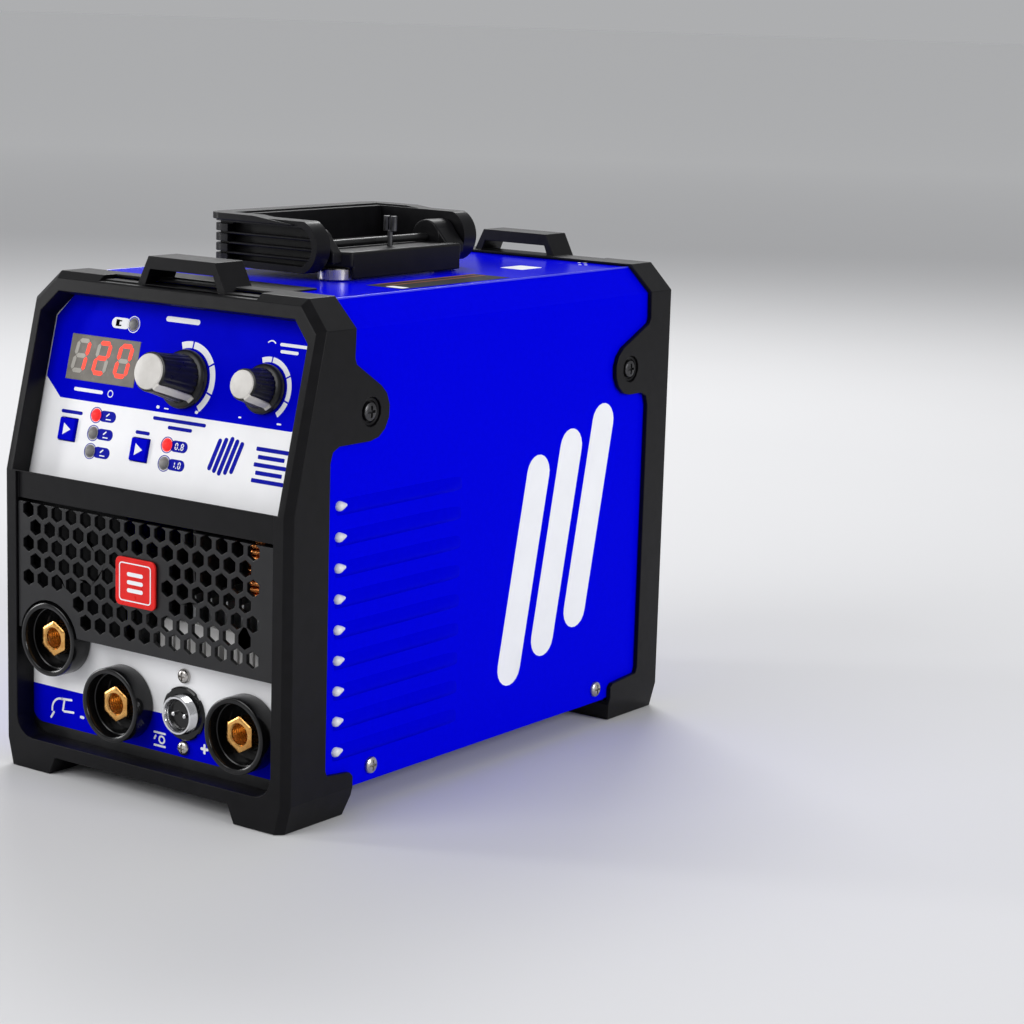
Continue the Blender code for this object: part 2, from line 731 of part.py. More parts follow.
def power_socket(name, spot):
    """A bayonet power socket: a round insulating cup with a hexagonal brass contact inside."""
    x, z = spot
    cup = [
        (SOCKET_INNER, 0.8),
        (SOCKET_RADIUS - 0.8, 0),
        (SOCKET_RADIUS, 0.8),
        (SOCKET_RADIUS, SLAB),
        (SOCKET_NECK, SLAB),
        (SOCKET_NECK, 24),
        (7.0, 24),
        (7.0, SOCKET_DEPTH),
        (SOCKET_INNER, SOCKET_DEPTH),
    ]
    mesh_object(name, turned(cup, "Y", (x, 0, z), 24))
    head = [(0, 3.5), (7.7, 3.5), (7.7, SOCKET_DEPTH - GAP), (0, SOCKET_DEPTH - GAP)]
    contact = mesh_object(name + "_contact", turned(head, "Y", (x, 0, z), 6), "brass")
    join(contact, rod(6.7, "Y", (x, 0, z), 6, 34, 14))
    cut(contact, rod(4.6, "Y", (x, 0, z), 0, 22, 14))


def trigger_connector():
    """The small round control connector: a chrome shell and an insert with two pins."""
    x, z = TRIGGER_SOCKET
    shell = [
        (6.9, 5.0),
        (8.2, 5.0),
        (8.2, 8.0),
        (11.4, 8.0),
        (11.4, SLAB),
        (7.9, SLAB),
        (7.9, 24.0),
        (6.9, 24.0),
    ]
    mesh_object("trigger_connector", turned(shell, "Y", (x, 0, z), 24), "chrome")
    insert = mesh_object("trigger_insert", rod(6.6, "Y", (x, 0, z), 10.0, 22.0, 14))
    for side in (-1, 1):
        join(insert, rod(0.9, "Y", (x + side * 3.1, 0, z), 6.4, 27.0, 8))


def hexagon(x, z, radius):
    turns = [i * math.pi / 3 for i in range(6)]
    return [(x + radius * math.sin(t), z + radius * math.cos(t)) for t in turns]


def grille_holes():
    """Centres of the honeycomb holes, less those behind the badge and round the torch socket."""
    left, right, low, high = BADGE
    spots = []
    for row in range(HEX_ROWS):
        z = HEX_TOP_Z - row * HEX_PITCH * math.sin(math.pi / 3)
        for column in range(HEX_COLUMNS - row % 2):
            x = HEX_FIRST_X + (column + (row % 2) / 2) * HEX_PITCH
            on_badge = left - 1.5 < x < right + 1.5 and low - 1.5 < z < high + 1.5
            near_socket = math.hypot(x - TORCH_SOCKET[0], z - TORCH_SOCKET[1]) < SOCKET_RADIUS + 6.5
            if not on_badge and not near_socket:
                spots.append((x, z))
    return spots


def vent_grille():
    """The honeycomb plate, made as one grid: each hole's rim is bridged by the plate's own faces."""
    front, back = GRILLE_FRONT, GRILLE_FRONT + GRILLE_THICK
    x = MOUTH_X - GAP
    plate = block((-x, x), (front, back), (GRILLE_LOW, MOUTH_HIGH - 1 - GAP))
    grille = mesh_object("vent_grille", plate)
    tool = bmesh.new()
    for spot in grille_holes():
        hole = prism(hexagon(*spot, HEX_RADIUS), "Y", front - 2, back + 2)
        merge_into(tool, hole)
    cut(grille, tool)
    cut(grille, rod(SOCKET_RADIUS + 1.0, "Y", (TORCH_SOCKET[0], 0, TORCH_SOCKET[1]), -5, 20, 32))
    join(grille, block((-30, x), (back - 1, SLAB), (GRILLE_LOW, GRILLE_LOW + 1.2)))
    return grille


def merge_into(target, extra):
    """Adds one bmesh's faces to another and frees it."""
    places = [target.verts.new(v.co) for v in extra.verts]
    extra.verts.index_update()
    for face in extra.faces:
        target.faces.new([places[v.index] for v in face.verts])
    extra.free()


def badge_plate():
    left, right, low, high = BADGE
    corner = 2.5
    outline = (
        arc((right - corner, low + corner), corner, -90, 0, 3)
        + arc((right - corner, high - corner), corner, 0, 90, 3)
        + arc((left + corner, high - corner), corner, 90, 180, 3)
        + arc((left + corner, low + corner), corner, 180, 270, 3)
    )
    front = GRILLE_FRONT - GAP
    return mesh_object("badge_plate", prism(outline, "Y", front - 1.0, front), "red_plastic")


# ---------------------------------------------------------------- handle


def handle():
    """The carrying bail: a grip bar and two arms with round ends on the hinge axis."""
    half = (BAIL_HIGH - BAIL_LOW) / 2
    end = arc((PIVOT_X, PIVOT_Z), half, -90, 90, 8)
    side = [(BAIL_LEFT + 4, BAIL_LOW + 6), (BAIL_LEFT + 8, BAIL_LOW), *end, (BAIL_LEFT + 2, BAIL_HIGH + 1)]
    side += [(BAIL_LEFT, BAIL_HIGH - 1)]
    bail = mesh_object("handle", prism(side, "Y", BAIL_FRONT, BAIL_REAR))
    corner = 9.0
    plan = [
        (PIVOT_X + 30, BAIL_FRONT),
        *reversed(arc((BAIL_LEFT + corner, BAIL_FRONT + corner), corner, 180, 270, 4)),
        *reversed(arc((BAIL_LEFT + corner, BAIL_REAR - corner), corner, 90, 180, 4)),
        (PIVOT_X + 30, BAIL_REAR),
    ]
    boolean(bail, prism(plan, "Z", BAIL_LOW - 10, BAIL_HIGH + 10), "INTERSECT")
    grip = BAIL_LEFT + BAIL_THICK + 3
    inner = (BAIL_FRONT + BAIL_THICK, BAIL_REAR - BAIL_THICK)
    cut(bail, block((grip, PIVOT_X + 40), inner, (BAIL_LOW - 5, BAIL_HIGH + 5)))
    cut(bail, rod(ROD_RADIUS + GAP, "Y", (PIVOT_X, 0, PIVOT_Z), 0, DEPTH, 14))
    pocket = ((BAIL_LEFT + 12, PIVOT_X - 8), (BAIL_LOW + 3, BAIL_HIGH - 3))
    for depth in ((BAIL_FRONT - 5, BAIL_FRONT + 2.5), (BAIL_REAR - 2.5, BAIL_REAR + 5)):
        cut(bail, block(pocket[0], depth, pocket[1]))
    move_origin(bail, machine_point((PIVOT_X, (BAIL_FRONT + BAIL_REAR) / 2, PIVOT_Z)))
    return bail


def handle_bracket():
    """The base that the bail turns on, with a knuckle at each end."""
    y = (BAIL_FRONT + BAIL_THICK + 0.5, BAIL_REAR - BAIL_THICK - 0.5)
    bracket = mesh_object("handle_bracket", block(BRACKET_X, (y[0] + 0.5, y[1] - 0.5), BRACKET_Z))
    for low, high in ((y[0], y[0] + 7), (y[1] - 7, y[1])):
        join(bracket, rod(7.0, "Y", (PIVOT_X, 0, PIVOT_Z), low, high, 14))
    cut(bracket, rod(ROD_RADIUS + GAP, "Y", (PIVOT_X, 0, PIVOT_Z), 0, DEPTH, 14))
    cut(bracket, block((PIVOT_X - 20, PIVOT_X + 20), (y[0] + 7, y[1] - 7), (BRACKET_Z[1], 250)))
    for x, spot in SPACER_XY:
        cut(bracket, rod(2.4, "Z", (x, spot, 0), 200, 240, 12))
    return bracket


def handle_hardware():
    span = (BAIL_FRONT + 0.6, BAIL_REAR - 0.6)
    mesh_object("handle_rod", rod(ROD_RADIUS, "Y", (PIVOT_X, 0, PIVOT_Z), *span, 12), "steel")
    for name, (x, y) in zip(("front_spacer", "rear_spacer"), SPACER_XY):
        spacer = rod(SPACER_RADIUS, "Z", (x, y, 0), COVER_TOP + GAP, BRACKET_Z[0] - GAP, 12)
        post = mesh_object(name, spacer, "steel")
        join(post, rod(2.0, "Z", (x, y, 0), COVER_TOP - 3, BRACKET_Z[1] - 1, 12))


# ---------------------------------------------------------------- rear wall


def fan_frame():
    x, z = FAN_XZ
    half = FAN_SIZE / 2
    low, high = FAN_Y
    frame = mesh_object("fan_frame", block((x - half, x + half), FAN_Y, (z - half, z + half)))
    cut(frame, rod(FAN_BORE, "Y", (x, 0, z), low - 5, high + 5, 24))
    for angle in (45, 135):
        join(frame, spoke(x, z, angle, FAN_BORE + 1, 2.0, (high - 2.5, high)))
    join(frame, rod(13.5, "Y", (x, 0, z), high - 2.5, high, 14))
    return frame


def spoke(x, z, angle, reach, half_width, y):
    bar = block((-reach, reach), y, (-half_width, half_width))
    turn = Matrix.Translation((x, 0, z)) @ Matrix.Rotation(math.radians(angle), 4, "Y")
    bmesh.ops.transform(bar, matrix=turn, verts=bar.verts)
    return bar


def fan_rotor():
    x, z = FAN_XZ
    low = FAN_Y[0] + 1.5
    high = FAN_Y[1] - 3.2
    rotor = mesh_object("fan_rotor", rod(13.5, "Y", (x, 0, z), low, high, 14))
    for i in range(7):
        blade = block((8, FAN_BORE - 1.2), (-0.9, 0.9), (-9.0, 9.0))
        pitch = Matrix.Rotation(math.radians(48), 4, "X")
        turn = Matrix.Rotation(2 * math.pi * i / 7, 4, "Y")
        place = Matrix.Translation((x, (low + high) / 2, z)) @ turn @ pitch
        bmesh.ops.transform(blade, matrix=place, verts=blade.verts)
        join(rotor, blade)
    move_origin(rotor, machine_point((x, (low + high) / 2, z)))
    return rotor


def fan_guard():
    x, z = FAN_XZ
    front = REAR_PANEL_Y + SHEET + GAP
    y = (front, front + 2.0)
    guard_ring = mesh_object("fan_guard", tube(38.5, 36.0, "Y", (x, 0, z), *y, 24), "steel")
    for angle in (0, 90):
        join(guard_ring, spoke(x, z, angle, 37.5, 1.4, y))
    for outer in (27.0, 16.0):
        join(guard_ring, tube(outer, outer - 2.6, "Y", (x, 0, z), *y, 14))
    return guard_ring


def power_switch():
    x, z = SWITCH_XZ
    face = REAR_PANEL_Y + SHEET + GAP
    frame = mesh_object("power_switch", block((x - 12, x + 12), (face, face + 2.5), (z - 15, z + 15)))
    join(frame, block((x - 10, x + 10), (face - 18, face + 1), (z - 13, z + 13)))
    cut(frame, block((x - 8.5, x + 8.5), (face - 8, face + 5), (z - 11.5, z + 11.5)))
    return frame


def power_rocker():
    """The rocker, resting with its lower half pressed in. Its underside is an arc about the hinge."""
    x, z = SWITCH_XZ
    hinge_y = REAR_PANEL_Y + SHEET
    tilt = math.radians(ROCKER_TILT)
    shape = [(2.6, -10.6), (0.9, 0), (2.6, 10.6), (-1.0, 10.8), (-5.0, 4.0), (-5.0, -4.0), (-1.0, -10.8)]
    turned_shape = [
        (hinge_y + a * math.cos(tilt) - b * math.sin(tilt), z + a * math.sin(tilt) + b * math.cos(tilt))
        for a, b in shape
    ]
    rocker = mesh_object("power_rocker", prism(turned_shape, "X", x - 8.1, x + 8.1), "red_plastic")
    move_origin(rocker, machine_point((x, hinge_y, z)))
    return rocker


def cable_gland():
    x, z = GLAND_XZ
    face = REAR_PANEL_Y + SHEET + GAP
    end = DEPTH + GLAND_PROUD
    profile = [
        (5.0, REAR_PANEL_Y - 12),
        (6.0, REAR_PANEL_Y - 12),
        (6.0, face),
        (10.5, face),
        (10.5, face + 5),
        (9.5, face + 6),
        (9.5, end - 4),
        (7.0, end),
        (5.0, end),
    ]
    return mesh_object("cable_gland", turned(profile, "Y", (x, 0, z), 14))


# ---------------------------------------------------------------- wire feeder


def spool_axle():
    y, z = SPOOL_YZ
    back = DIVIDER_X - SHEET / 2 - GAP
    axle = mesh_object("spool_axle", rod(7.6, "X", (0, y, z), SPOOL_X[0] - 3.5, back - 1, 14))
    join(axle, rod(14.0, "X", (0, y, z), back - 4, back, 14))
    join(axle, block((SPOOL_X[0] - 7, SPOOL_X[0] - 1.0), (y - 9.3, y + 9.6), (z - 3.4, z + 3.2)))
    return axle


def wire_spool():
    """A wire spool: two flanges on a core wound with welding wire."""
    y, z = SPOOL_YZ
    low, high = SPOOL_X
    profile = [
        (7.9, low),
        (SPOOL_RADIUS, low),
        (SPOOL_RADIUS, low + 3),
        (WOUND_RADIUS, low + 3),
        (WOUND_RADIUS, high - 3),
        (SPOOL_RADIUS, high - 3),
        (SPOOL_RADIUS, high),
        (7.9, high),
    ]
    middle = (sum(SPOOL_X) / 2, y, z)
    return mesh_object("wire_spool", turned(profile, "X", (0, y, z), 32), "black_plastic", middle)


def feed_plate():
    y = (40.0, 104.0)
    x = FEED_X
    foot = base_top()
    plate = mesh_object("feed_plate", block(x, y, (foot, 92)), "aluminium")
    join(plate, block((x[0], x[1] + 18), y, (foot, foot + 4)))
    cut(plate, rod(4.5, "X", (0, *DRIVE_YZ), x[0] - 5, x[1] + 5, 14))
    cut(plate, rod(3.3, "X", (0, *ARM_PIVOT), x[0] - 5, x[1] + 5, 14))
    return plate


def feed_motor():
    y, z = DRIVE_YZ
    start = FEED_X[1] + GAP
    motor = mesh_object("feed_motor", rod(17.0, "X", (0, y, z + 2), start, start + 32, 24), "zinc")
    cut(motor, rod(3.3, "X", (0, y, z), start - 5, start + 8, 14))
    return motor


def drive_roller():
    y, z = DRIVE_YZ
    face = WIRE_X + 5
    roller = mesh_object("drive_roller", grooved_roller(DRIVE_RADIUS, y, z), "steel")
    join(roller, rod(3.0, "X", (0, y, z), WIRE_X - 8, FEED_X[1] + 6, 14))
    move_origin(roller, machine_point((face, y, z)))
    return roller


def grooved_roller(radius, y, z, bore=0.0):
    low, high = WIRE_X - 5, WIRE_X + 5
    rim = [(radius, low), (radius, WIRE_X - 1), (radius - 0.7, WIRE_X), (radius, WIRE_X + 1), (radius, high)]
    ends = [(bore, low), *rim, (bore, high)]
    return turned(ends, "X", (0, y, z), 24)


def pressure_roller():
    y, z = PRESS_YZ
    bm = grooved_roller(PRESS_RADIUS, y, z, 3.3)
    return mesh_object("pressure_roller", bm, "steel", (WIRE_X, y, z))


def pressure_arm():
    """The spring arm that carries the pressure roller, with its hinge pin and roller pin."""
    pivot_y, pivot_z = ARM_PIVOT
    y, z = PRESS_YZ
    x = (FEED_X[0] - 4.5, FEED_X[0] - 0.5)
    outline = [
        (42, z + 7),
        (42, z + 11),
        (y + 2, z + 11),
        (pivot_y + 5, pivot_z + 6),
        (pivot_y + 6, pivot_z - 3),
        (pivot_y, pivot_z - 6),
        (y + 6, z - 5),
        (y - 5, z - 5),
    ]
    arm = mesh_object("pressure_arm", prism(outline, "X", *x), "zinc")
    join(arm, rod(3.0, "X", (0, pivot_y, pivot_z), x[0], FEED_X[1], 14))
    join(arm, rod(3.0, "X", (0, y, z), WIRE_X - 6.5, x[1], 14))
    join(arm, block((WIRE_X - 7, x[1]), (40, 52), (z + 8, z + 11)))
    cut(arm, rod(2.4, "Z", (WIRE_X - 0.5, 46, 0), z, z + 20, 12))
    move_origin(arm, machine_point((x[0], pivot_y, pivot_z)))
    return arm


def tension_knob():
    z = PRESS_YZ[1] + 11 + GAP
    spot = (WIRE_X - 0.5, 46.0, 0)
    profile = [(0, z - 6), (2.0, z - 6), (2.0, z), (6.5, z), (6.5, z + 9), (5.5, z + 12), (0, z + 12)]
    return mesh_object("tension_knob", turned(profile, "Z", spot, 12), "red_plastic", (spot[0], spot[1], z))


# ---------------------------------------------------------------- power electronics


def main_board():
    """The inverter board on the floor, with its capacitors and its transformer."""
    low = base_top() + 9
    board = mesh_object("main_board", block((2, 74), (30, 226), (low, low + 1.6)), "board_green")
    for x in (18, 42):
        join(board, rod(11.0, "Z", (x, 175, 0), low + 1, low + 42, 14))
    join(board, block((10, 50), (192, 222), (low + 1, low + 34)))
    for x, y in ((6, 36), (70, 36), (6, 220), (70, 220)):
        join(board, rod(3.0, "Z", (x, y, 0), base_top(), low + 0.5, 8))
    return board


def heat_sink():
    """An extruded heat sink with its fins along the air flow."""
    left, right, floor, top = 6.0, 70.0, 50.0, 84.0
    fins, fin = 8, 1.8
    sink = mesh_object("heat_sink", block((left, right), (26, 160), (floor - 4, top)), "aluminium")
    step = (right - left - fin) / (fins - 1)
    for i in range(fins - 1):
        x = left + i * step
        cut(sink, block((x + fin, x + step), (20, 170), (floor, top + 5)))
    return sink


def output_inductor():
    """A wound ring core that stands above the heat sink."""
    return mesh_object("output_inductor", tube(15.0, 7.0, "Y", (54, 0, 104), 34, 52, 24), "copper")


# ---------------------------------------------------------------- fasteners


def pan_screw(name, axis, centre, seat, outward, radius, height, length):
    """A pan-head screw whose head rests on a seat and points outward (+1 or -1) along an axis."""
    head = [
        (0, seat - outward * length),
        (SHANK, seat - outward * length),
        (SHANK, seat),
        (radius, seat),
        (radius * 0.9, seat + outward * height * 0.6),
        (radius * 0.5, seat + outward * height),
        (0, seat + outward * height),
    ]
    return mesh_object(name, turned(head, axis, centre, 10), "steel")


def screws():
    sides = (("left", -1), ("right", 1))
    for word, side in sides:
        for place, y in (("front", LUG_Y), ("rear", REAR_LUG_Y)):
            seat = side * (HALF - LUG_RECESS + GAP)
            pan_screw(f"{place}_{word}_lug_screw", "X", (0, y, LUG_Z), seat, side, 4.0, 1.3, 6.0)
        for place, y in zip(("front", "rear"), SIDE_SCREW_Y):
            seat = side * (COVER_X + GAP)
            pan_screw(f"{place}_{word}_cover_screw", "X", (0, y, SIDE_SCREW_Z), seat, side, 3.6, 1.9, 6.0)
    for word, (x, z) in zip(("upper", "lower"), PANEL_SCREWS):
        pan_screw(f"{word}_panel_screw", "Y", (x, 0, z), SLAB, -1, 3.1, 1.9, 6.0)


# ---------------------------------------------------------------- assembly


def main():
    clear_scene()
    front_bezel()
    rear_bezel()
    case_cover()
    base_pan()
    divider_panel()
    rear_panel()
    spool_door()
    door_latch()
    control_panel()
    display_module()
    control_board()
    knob("current_knob", CURRENT_KNOB, CURRENT_KNOB_LONG, 12.5, 10.4, 9.2, CAP_RADIUS)
    knob("trim_knob", TRIM_KNOB, TRIM_KNOB_LONG, 10.6, 8.6, 7.4, 6.7)
    push_button("process_button", PROCESS_BUTTON)
    push_button("wire_button", WIRE_BUTTON)
    connector_panel()
    power_socket("torch_socket", TORCH_SOCKET)
    power_socket("negative_socket", NEGATIVE_SOCKET)
    power_socket("positive_socket", POSITIVE_SOCKET)
    trigger_connector()
    vent_grille()
    badge_plate()
    handle()
    handle_bracket()
    handle_hardware()
    fan_frame()
    fan_rotor()
    fan_guard()
    power_switch()
    power_rocker()
    cable_gland()
    spool_axle()
    wire_spool()
    feed_plate()
    feed_motor()
    drive_roller()
    pressure_roller()
    pressure_arm()
    tension_knob()
    main_board()
    heat_sink()
    output_inductor()
    screws()


main()
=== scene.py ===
"""Looks for the mig welding machine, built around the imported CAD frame.

Sizes are in millimetres: x to the right, y the depth behind the front bezel's face, z up.
"""

import json
import math

import bmesh
import bpy
from mathutils import Matrix, Vector

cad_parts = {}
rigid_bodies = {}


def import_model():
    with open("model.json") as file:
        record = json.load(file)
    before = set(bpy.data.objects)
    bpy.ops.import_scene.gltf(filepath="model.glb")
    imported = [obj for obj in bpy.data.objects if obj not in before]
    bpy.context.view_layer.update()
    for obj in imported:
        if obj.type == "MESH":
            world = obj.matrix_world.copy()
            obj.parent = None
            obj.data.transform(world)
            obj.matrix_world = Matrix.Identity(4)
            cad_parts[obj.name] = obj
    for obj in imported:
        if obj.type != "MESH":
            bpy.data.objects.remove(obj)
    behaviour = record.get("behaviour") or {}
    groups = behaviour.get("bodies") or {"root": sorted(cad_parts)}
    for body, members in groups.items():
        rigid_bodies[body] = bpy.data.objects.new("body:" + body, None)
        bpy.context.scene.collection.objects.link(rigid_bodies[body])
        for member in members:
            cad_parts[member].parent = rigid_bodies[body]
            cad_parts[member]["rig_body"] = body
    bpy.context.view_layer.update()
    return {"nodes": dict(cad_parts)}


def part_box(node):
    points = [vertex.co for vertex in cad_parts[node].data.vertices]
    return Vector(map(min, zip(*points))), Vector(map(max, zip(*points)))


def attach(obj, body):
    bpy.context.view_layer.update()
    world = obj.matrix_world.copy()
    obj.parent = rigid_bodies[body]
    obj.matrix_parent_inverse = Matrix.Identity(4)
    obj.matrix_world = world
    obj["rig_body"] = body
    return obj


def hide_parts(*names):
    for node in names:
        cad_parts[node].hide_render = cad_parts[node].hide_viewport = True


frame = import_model()
NODES = frame["nodes"]

MM = 0.001
ORIGIN_DEPTH = 142.0662  # where the CAD's origin lies
KNEE_Z = 130.0  # above this height the front leans back
LEAN = math.atan2(21.0, 84.0)
PANEL = 10.3  # the control panel's face, square to the lean
COVER_X, COVER_TOP = 78.5, 212.5
REAR_FACE = Vector(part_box("rear_panel")[1]).y / MM + ORIGIN_DEPTH
LUG_Y, LUG_Z = (49.6, 239.0), 167.4
CONNECTOR, FAN, GLAND, RATING = (16.4, 37.7), (29.0, 110.0), (-37.0, 45.0), (-37.0, 98.0)  # x, z
SPOOL = (186.0, 115.0)  # y, z
SUNK = 0.05  # how deep a print sits in its face
WELD, FLAT = 0.004, 0.6  # points this close in mm and faces this flat in degrees are merged
NOISE_RANGE = (0.3, 0.7)  # where nearly all of a noise texture's values lie


# -------------------- shapes


def bridge(bm, rows, ring=True):
    """Faces between rows of points. With ring, each row closes on itself."""
    for low, high in zip(rows, rows[1:]):
        for k in range(len(low) if ring else len(low) - 1):
            m = (k + 1) % len(low)
            bm.faces.new((low[k], low[m], high[m], high[k]))


def finished(bm, caps=()):
    """Adds the last faces and turns all faces outward."""
    for cap in caps:
        bm.faces.new(cap)
    bmesh.ops.recalc_face_normals(bm, faces=bm.faces)
    return bm


def prism(outline, axis, low, high):
    place = {
        "X": lambda a, b, t: (t, a, b),
        "Y": lambda a, b, t: (a, t, b),
        "Z": lambda a, b, t: (a, b, t),
    }[axis]
    bm = bmesh.new()
    rows = [[bm.verts.new(place(a, b, t)) for a, b in outline] for t in (low, high)]
    bridge(bm, rows)
    return finished(bm, rows)


def block(x, y, z):
    return prism([(x[0], y[0]), (x[1], y[0]), (x[1], y[1]), (x[0], y[1])], "Z", *z)


def turned(profile, axis, centre, segments=48, wave=None):
    """Turns (radius, distance) pairs about an axis. wave(radius, along, angle) changes a radius."""
    turn = {
        "X": lambda r, a, t: (t, r * math.cos(a), r * math.sin(a)),
        "Y": lambda r, a, t: (r * math.cos(a), t, r * math.sin(a)),
        "Z": lambda r, a, t: (r * math.cos(a), r * math.sin(a), t),
    }[axis]
    bm = bmesh.new()
    step = 2 * math.pi / segments
    rows = []
    for radius, along in profile:
        row = []
        for i in range(segments if radius else 1):
            angle = (i + 0.5) * step
            r = wave(radius, along, angle) if wave and radius else radius
            row.append(bm.verts.new(Vector(turn(r, angle, along)) + Vector(centre)))
        rows.append(row)
    if profile[0][0] > 0 and profile[-1][0] > 0:
        rows.append(rows[0])
    for low, high in zip(rows, rows[1:]):
        for i in range(segments):
            j = (i + 1) % segments
            near = [low[i % len(low)], low[j % len(low)]]
            far = [high[j % len(high)], high[i % len(high)]]
            bm.faces.new(list(dict.fromkeys(near + far)))
    return finished(bm)


def rod(radius, axis, centre, low, high, segments=32):
    return turned([(0, low), (radius, low), (radius, high), (0, high)], axis, centre, segments)


def sweep(path, radius, sides=12, closed=False):
    """A round bar of one radius along a path of points."""
    points = [Vector(p) for p in path]
    count = len(points)
    turns = [2 * math.pi * k / sides for k in range(sides)]
    bm = bmesh.new()
    rows = []
    normal = None
    for i, point in enumerate(points):
        before = points[i - 1] if i or closed else point
        after = points[(i + 1) % count] if i + 1 < count or closed else point
        along = (after - before).normalized()
        if normal is None:
            normal = along.orthogonal().normalized()
        normal = (normal - along * normal.dot(along)).normalized()
        side = along.cross(normal)
        places = [
            point + normal * (radius * math.cos(a)) + side * (radius * math.sin(a)) for a in turns
        ]
        rows.append([bm.verts.new(place) for place in places])
    bridge(bm, rows + rows[:1] if closed else rows)
    return finished(bm, () if closed else (rows[0], rows[-1]))


def circle(x, y, radius, count):
    angles = [2 * math.pi * k / count for k in range(count)]
    return [(x + radius * math.cos(a), y + radius * math.sin(a)) for a in angles]


def arc(centre, radius, start, end, steps):
    angles = [math.radians(start + (end - start) * i / steps) for i in range(steps + 1)]
    return [(centre[0] + radius * math.cos(a), centre[1] + radius * math.sin(a)) for a in angles]


def rounded(x, y, width, height, radius, steps=4):
    """Outline of a rounded rectangle from its middle and size."""
    w, h = width / 2 - radius, height / 2 - radius
    return (
        arc((x + w, y - h), radius, -90, 0, steps)
        + arc((x + w, y + h), radius, 0, 90, steps)
        + arc((x - w, y + h), radius, 90, 180, steps)
        + arc((x - w, y - h), radius, 180, 270, steps)
    )


def band(x, y, inner, outer, start, end, steps=24):
    """Outline of a piece of a ring."""
    return arc((x, y), outer, start, end, steps) + arc((x, y), inner, end, start, steps)


def bar(x, y, length, width, angle=0.0, steps=5):
    """Outline of a bar with round ends."""
    turn = Matrix.Rotation(math.radians(angle), 2)
    outline = rounded(0, 0, length, width, width / 2 - 0.001, steps)
    return [tuple(turn @ Vector(p) + Vector((x, y))) for p in outline]


def merged(parts):
    """One bmesh from several."""
    whole = bmesh.new()
    for part in parts:
        places = [whole.verts.new(v.co) for v in part.verts]
        part.verts.index_update()
        for face in part.faces:
            whole.faces.new([places[v.index] for v in face.verts])
        part.free()
    return whole


def prisms(outlines, axis, low, high):
    return merged([prism(outline, axis, low, high) for outline in outlines])


def moved(bm, matrix):
    bmesh.ops.transform(bm, matrix=matrix, verts=bm.verts)
    return bm


def hex_reach(flat, angle):
    """How far a hexagon with this distance to its flats reaches at an angle."""
    turn = (math.degrees(angle) + 30.0) % 60.0 - 30.0
    return flat / math.cos(math.radians(turn))


def flute(count, angle):
    """A wave from 0 to 1 that repeats count times round a circle."""
    return 0.5 + 0.5 * math.cos(count * angle)


def leaning(bm):
    """Places a shape drawn as (x, depth, up the face) on the leaning control face."""
    for v in bm.verts:
        x, depth, up = v.co
        v.co = (
            x,
            depth * math.cos(LEAN) + up * math.sin(LEAN),
            KNEE_Z + up * math.cos(LEAN) - depth * math.sin(LEAN),
        )
    return bm


# -------------------- materials


def shader_of(mat):
    return mat.node_tree.nodes["Principled BSDF"]


def new_material(name, color, roughness, metallic=0.0, specular=0.5):
    mat = bpy.data.materials.new(name)
    mat.use_nodes = True
    values = {"Base Color": (*color, 1), "Roughness": roughness}
    values |= {"Metallic": metallic, "Specular IOR Level": specular}
    for key, value in values.items():
        shader_of(mat).inputs[key].default_value = value
    return mat


def add(mat, kind, **values):
    """Adds a shader node and sets its properties or, with _ for a blank, its inputs."""
    node = mat.node_tree.nodes.new(kind)
    for key, value in values.items():
        if hasattr(node, key):
            setattr(node, key, value)
        else:
            node.inputs[key.replace("_", " ")].default_value = value
    return node


def link(mat, a, out, b, into):
    mat.node_tree.links.new(a.outputs[out], b.inputs[into])


def noise(mat, scale, detail=3.0, stretch=(1, 1, 1)):
    place = add(mat, "ShaderNodeTexCoord")
    mapping = add(mat, "ShaderNodeMapping", Scale=stretch)
    texture = add(mat, "ShaderNodeTexNoise", Scale=scale, Detail=detail)
    link(mat, place, "Object", mapping, "Vector")
    link(mat, mapping, "Vector", texture, "Vector")
    return texture


def ramp(mat, source, out, stops):
    node = add(mat, "ShaderNodeValToRGB")
    elements = node.color_ramp.elements
    elements[0].position, elements[0].color = stops[0][0], (*stops[0][1], 1)
    elements[1].position, elements[1].color = stops[-1][0], (*stops[-1][1], 1)
    for at, color in stops[1:-1]:
        element = elements.new(at)
        element.color = (*color, 1)
    link(mat, source, out, node, "Fac")
    return node


def vary_color(mat, dark, light, scale, detail=3.0, stretch=(1, 1, 1)):
    stops = list(zip(NOISE_RANGE, (dark, light)))
    node = ramp(mat, noise(mat, scale, detail, stretch), "Fac", stops)
    link(mat, node, "Color", shader_of(mat), "Base Color")


def vary_roughness(mat, low, high, scale, stretch=(1, 1, 1)):
    texture = noise(mat, scale, 4.0, stretch)
    start, end = NOISE_RANGE
    node = add(mat, "ShaderNodeMapRange", From_Min=start, From_Max=end, To_Min=low, To_Max=high)
    link(mat, texture, "Fac", node, "Value")
    link(mat, node, "Result", shader_of(mat), "Roughness")


def bumps(mat, scale, strength, distance_mm, detail=2.0, stretch=(1, 1, 1)):
    texture = noise(mat, scale, detail, stretch)
    node = add(mat, "ShaderNodeBump", Strength=strength, Distance=distance_mm * MM)
    link(mat, texture, "Fac", node, "Height")
    link(mat, node, "Normal", shader_of(mat), "Normal")


def moulded(name, dark, light, rough=(0.36, 0.5), grain=1500, depth=0.05, specular=0.35):
    mat = new_material(name, light, rough[1], 0.0, specular)
    vary_color(mat, dark, light, 160)
    vary_roughness(mat, *rough, 300)
    bumps(mat, grain, 0.45, depth)
    return mat


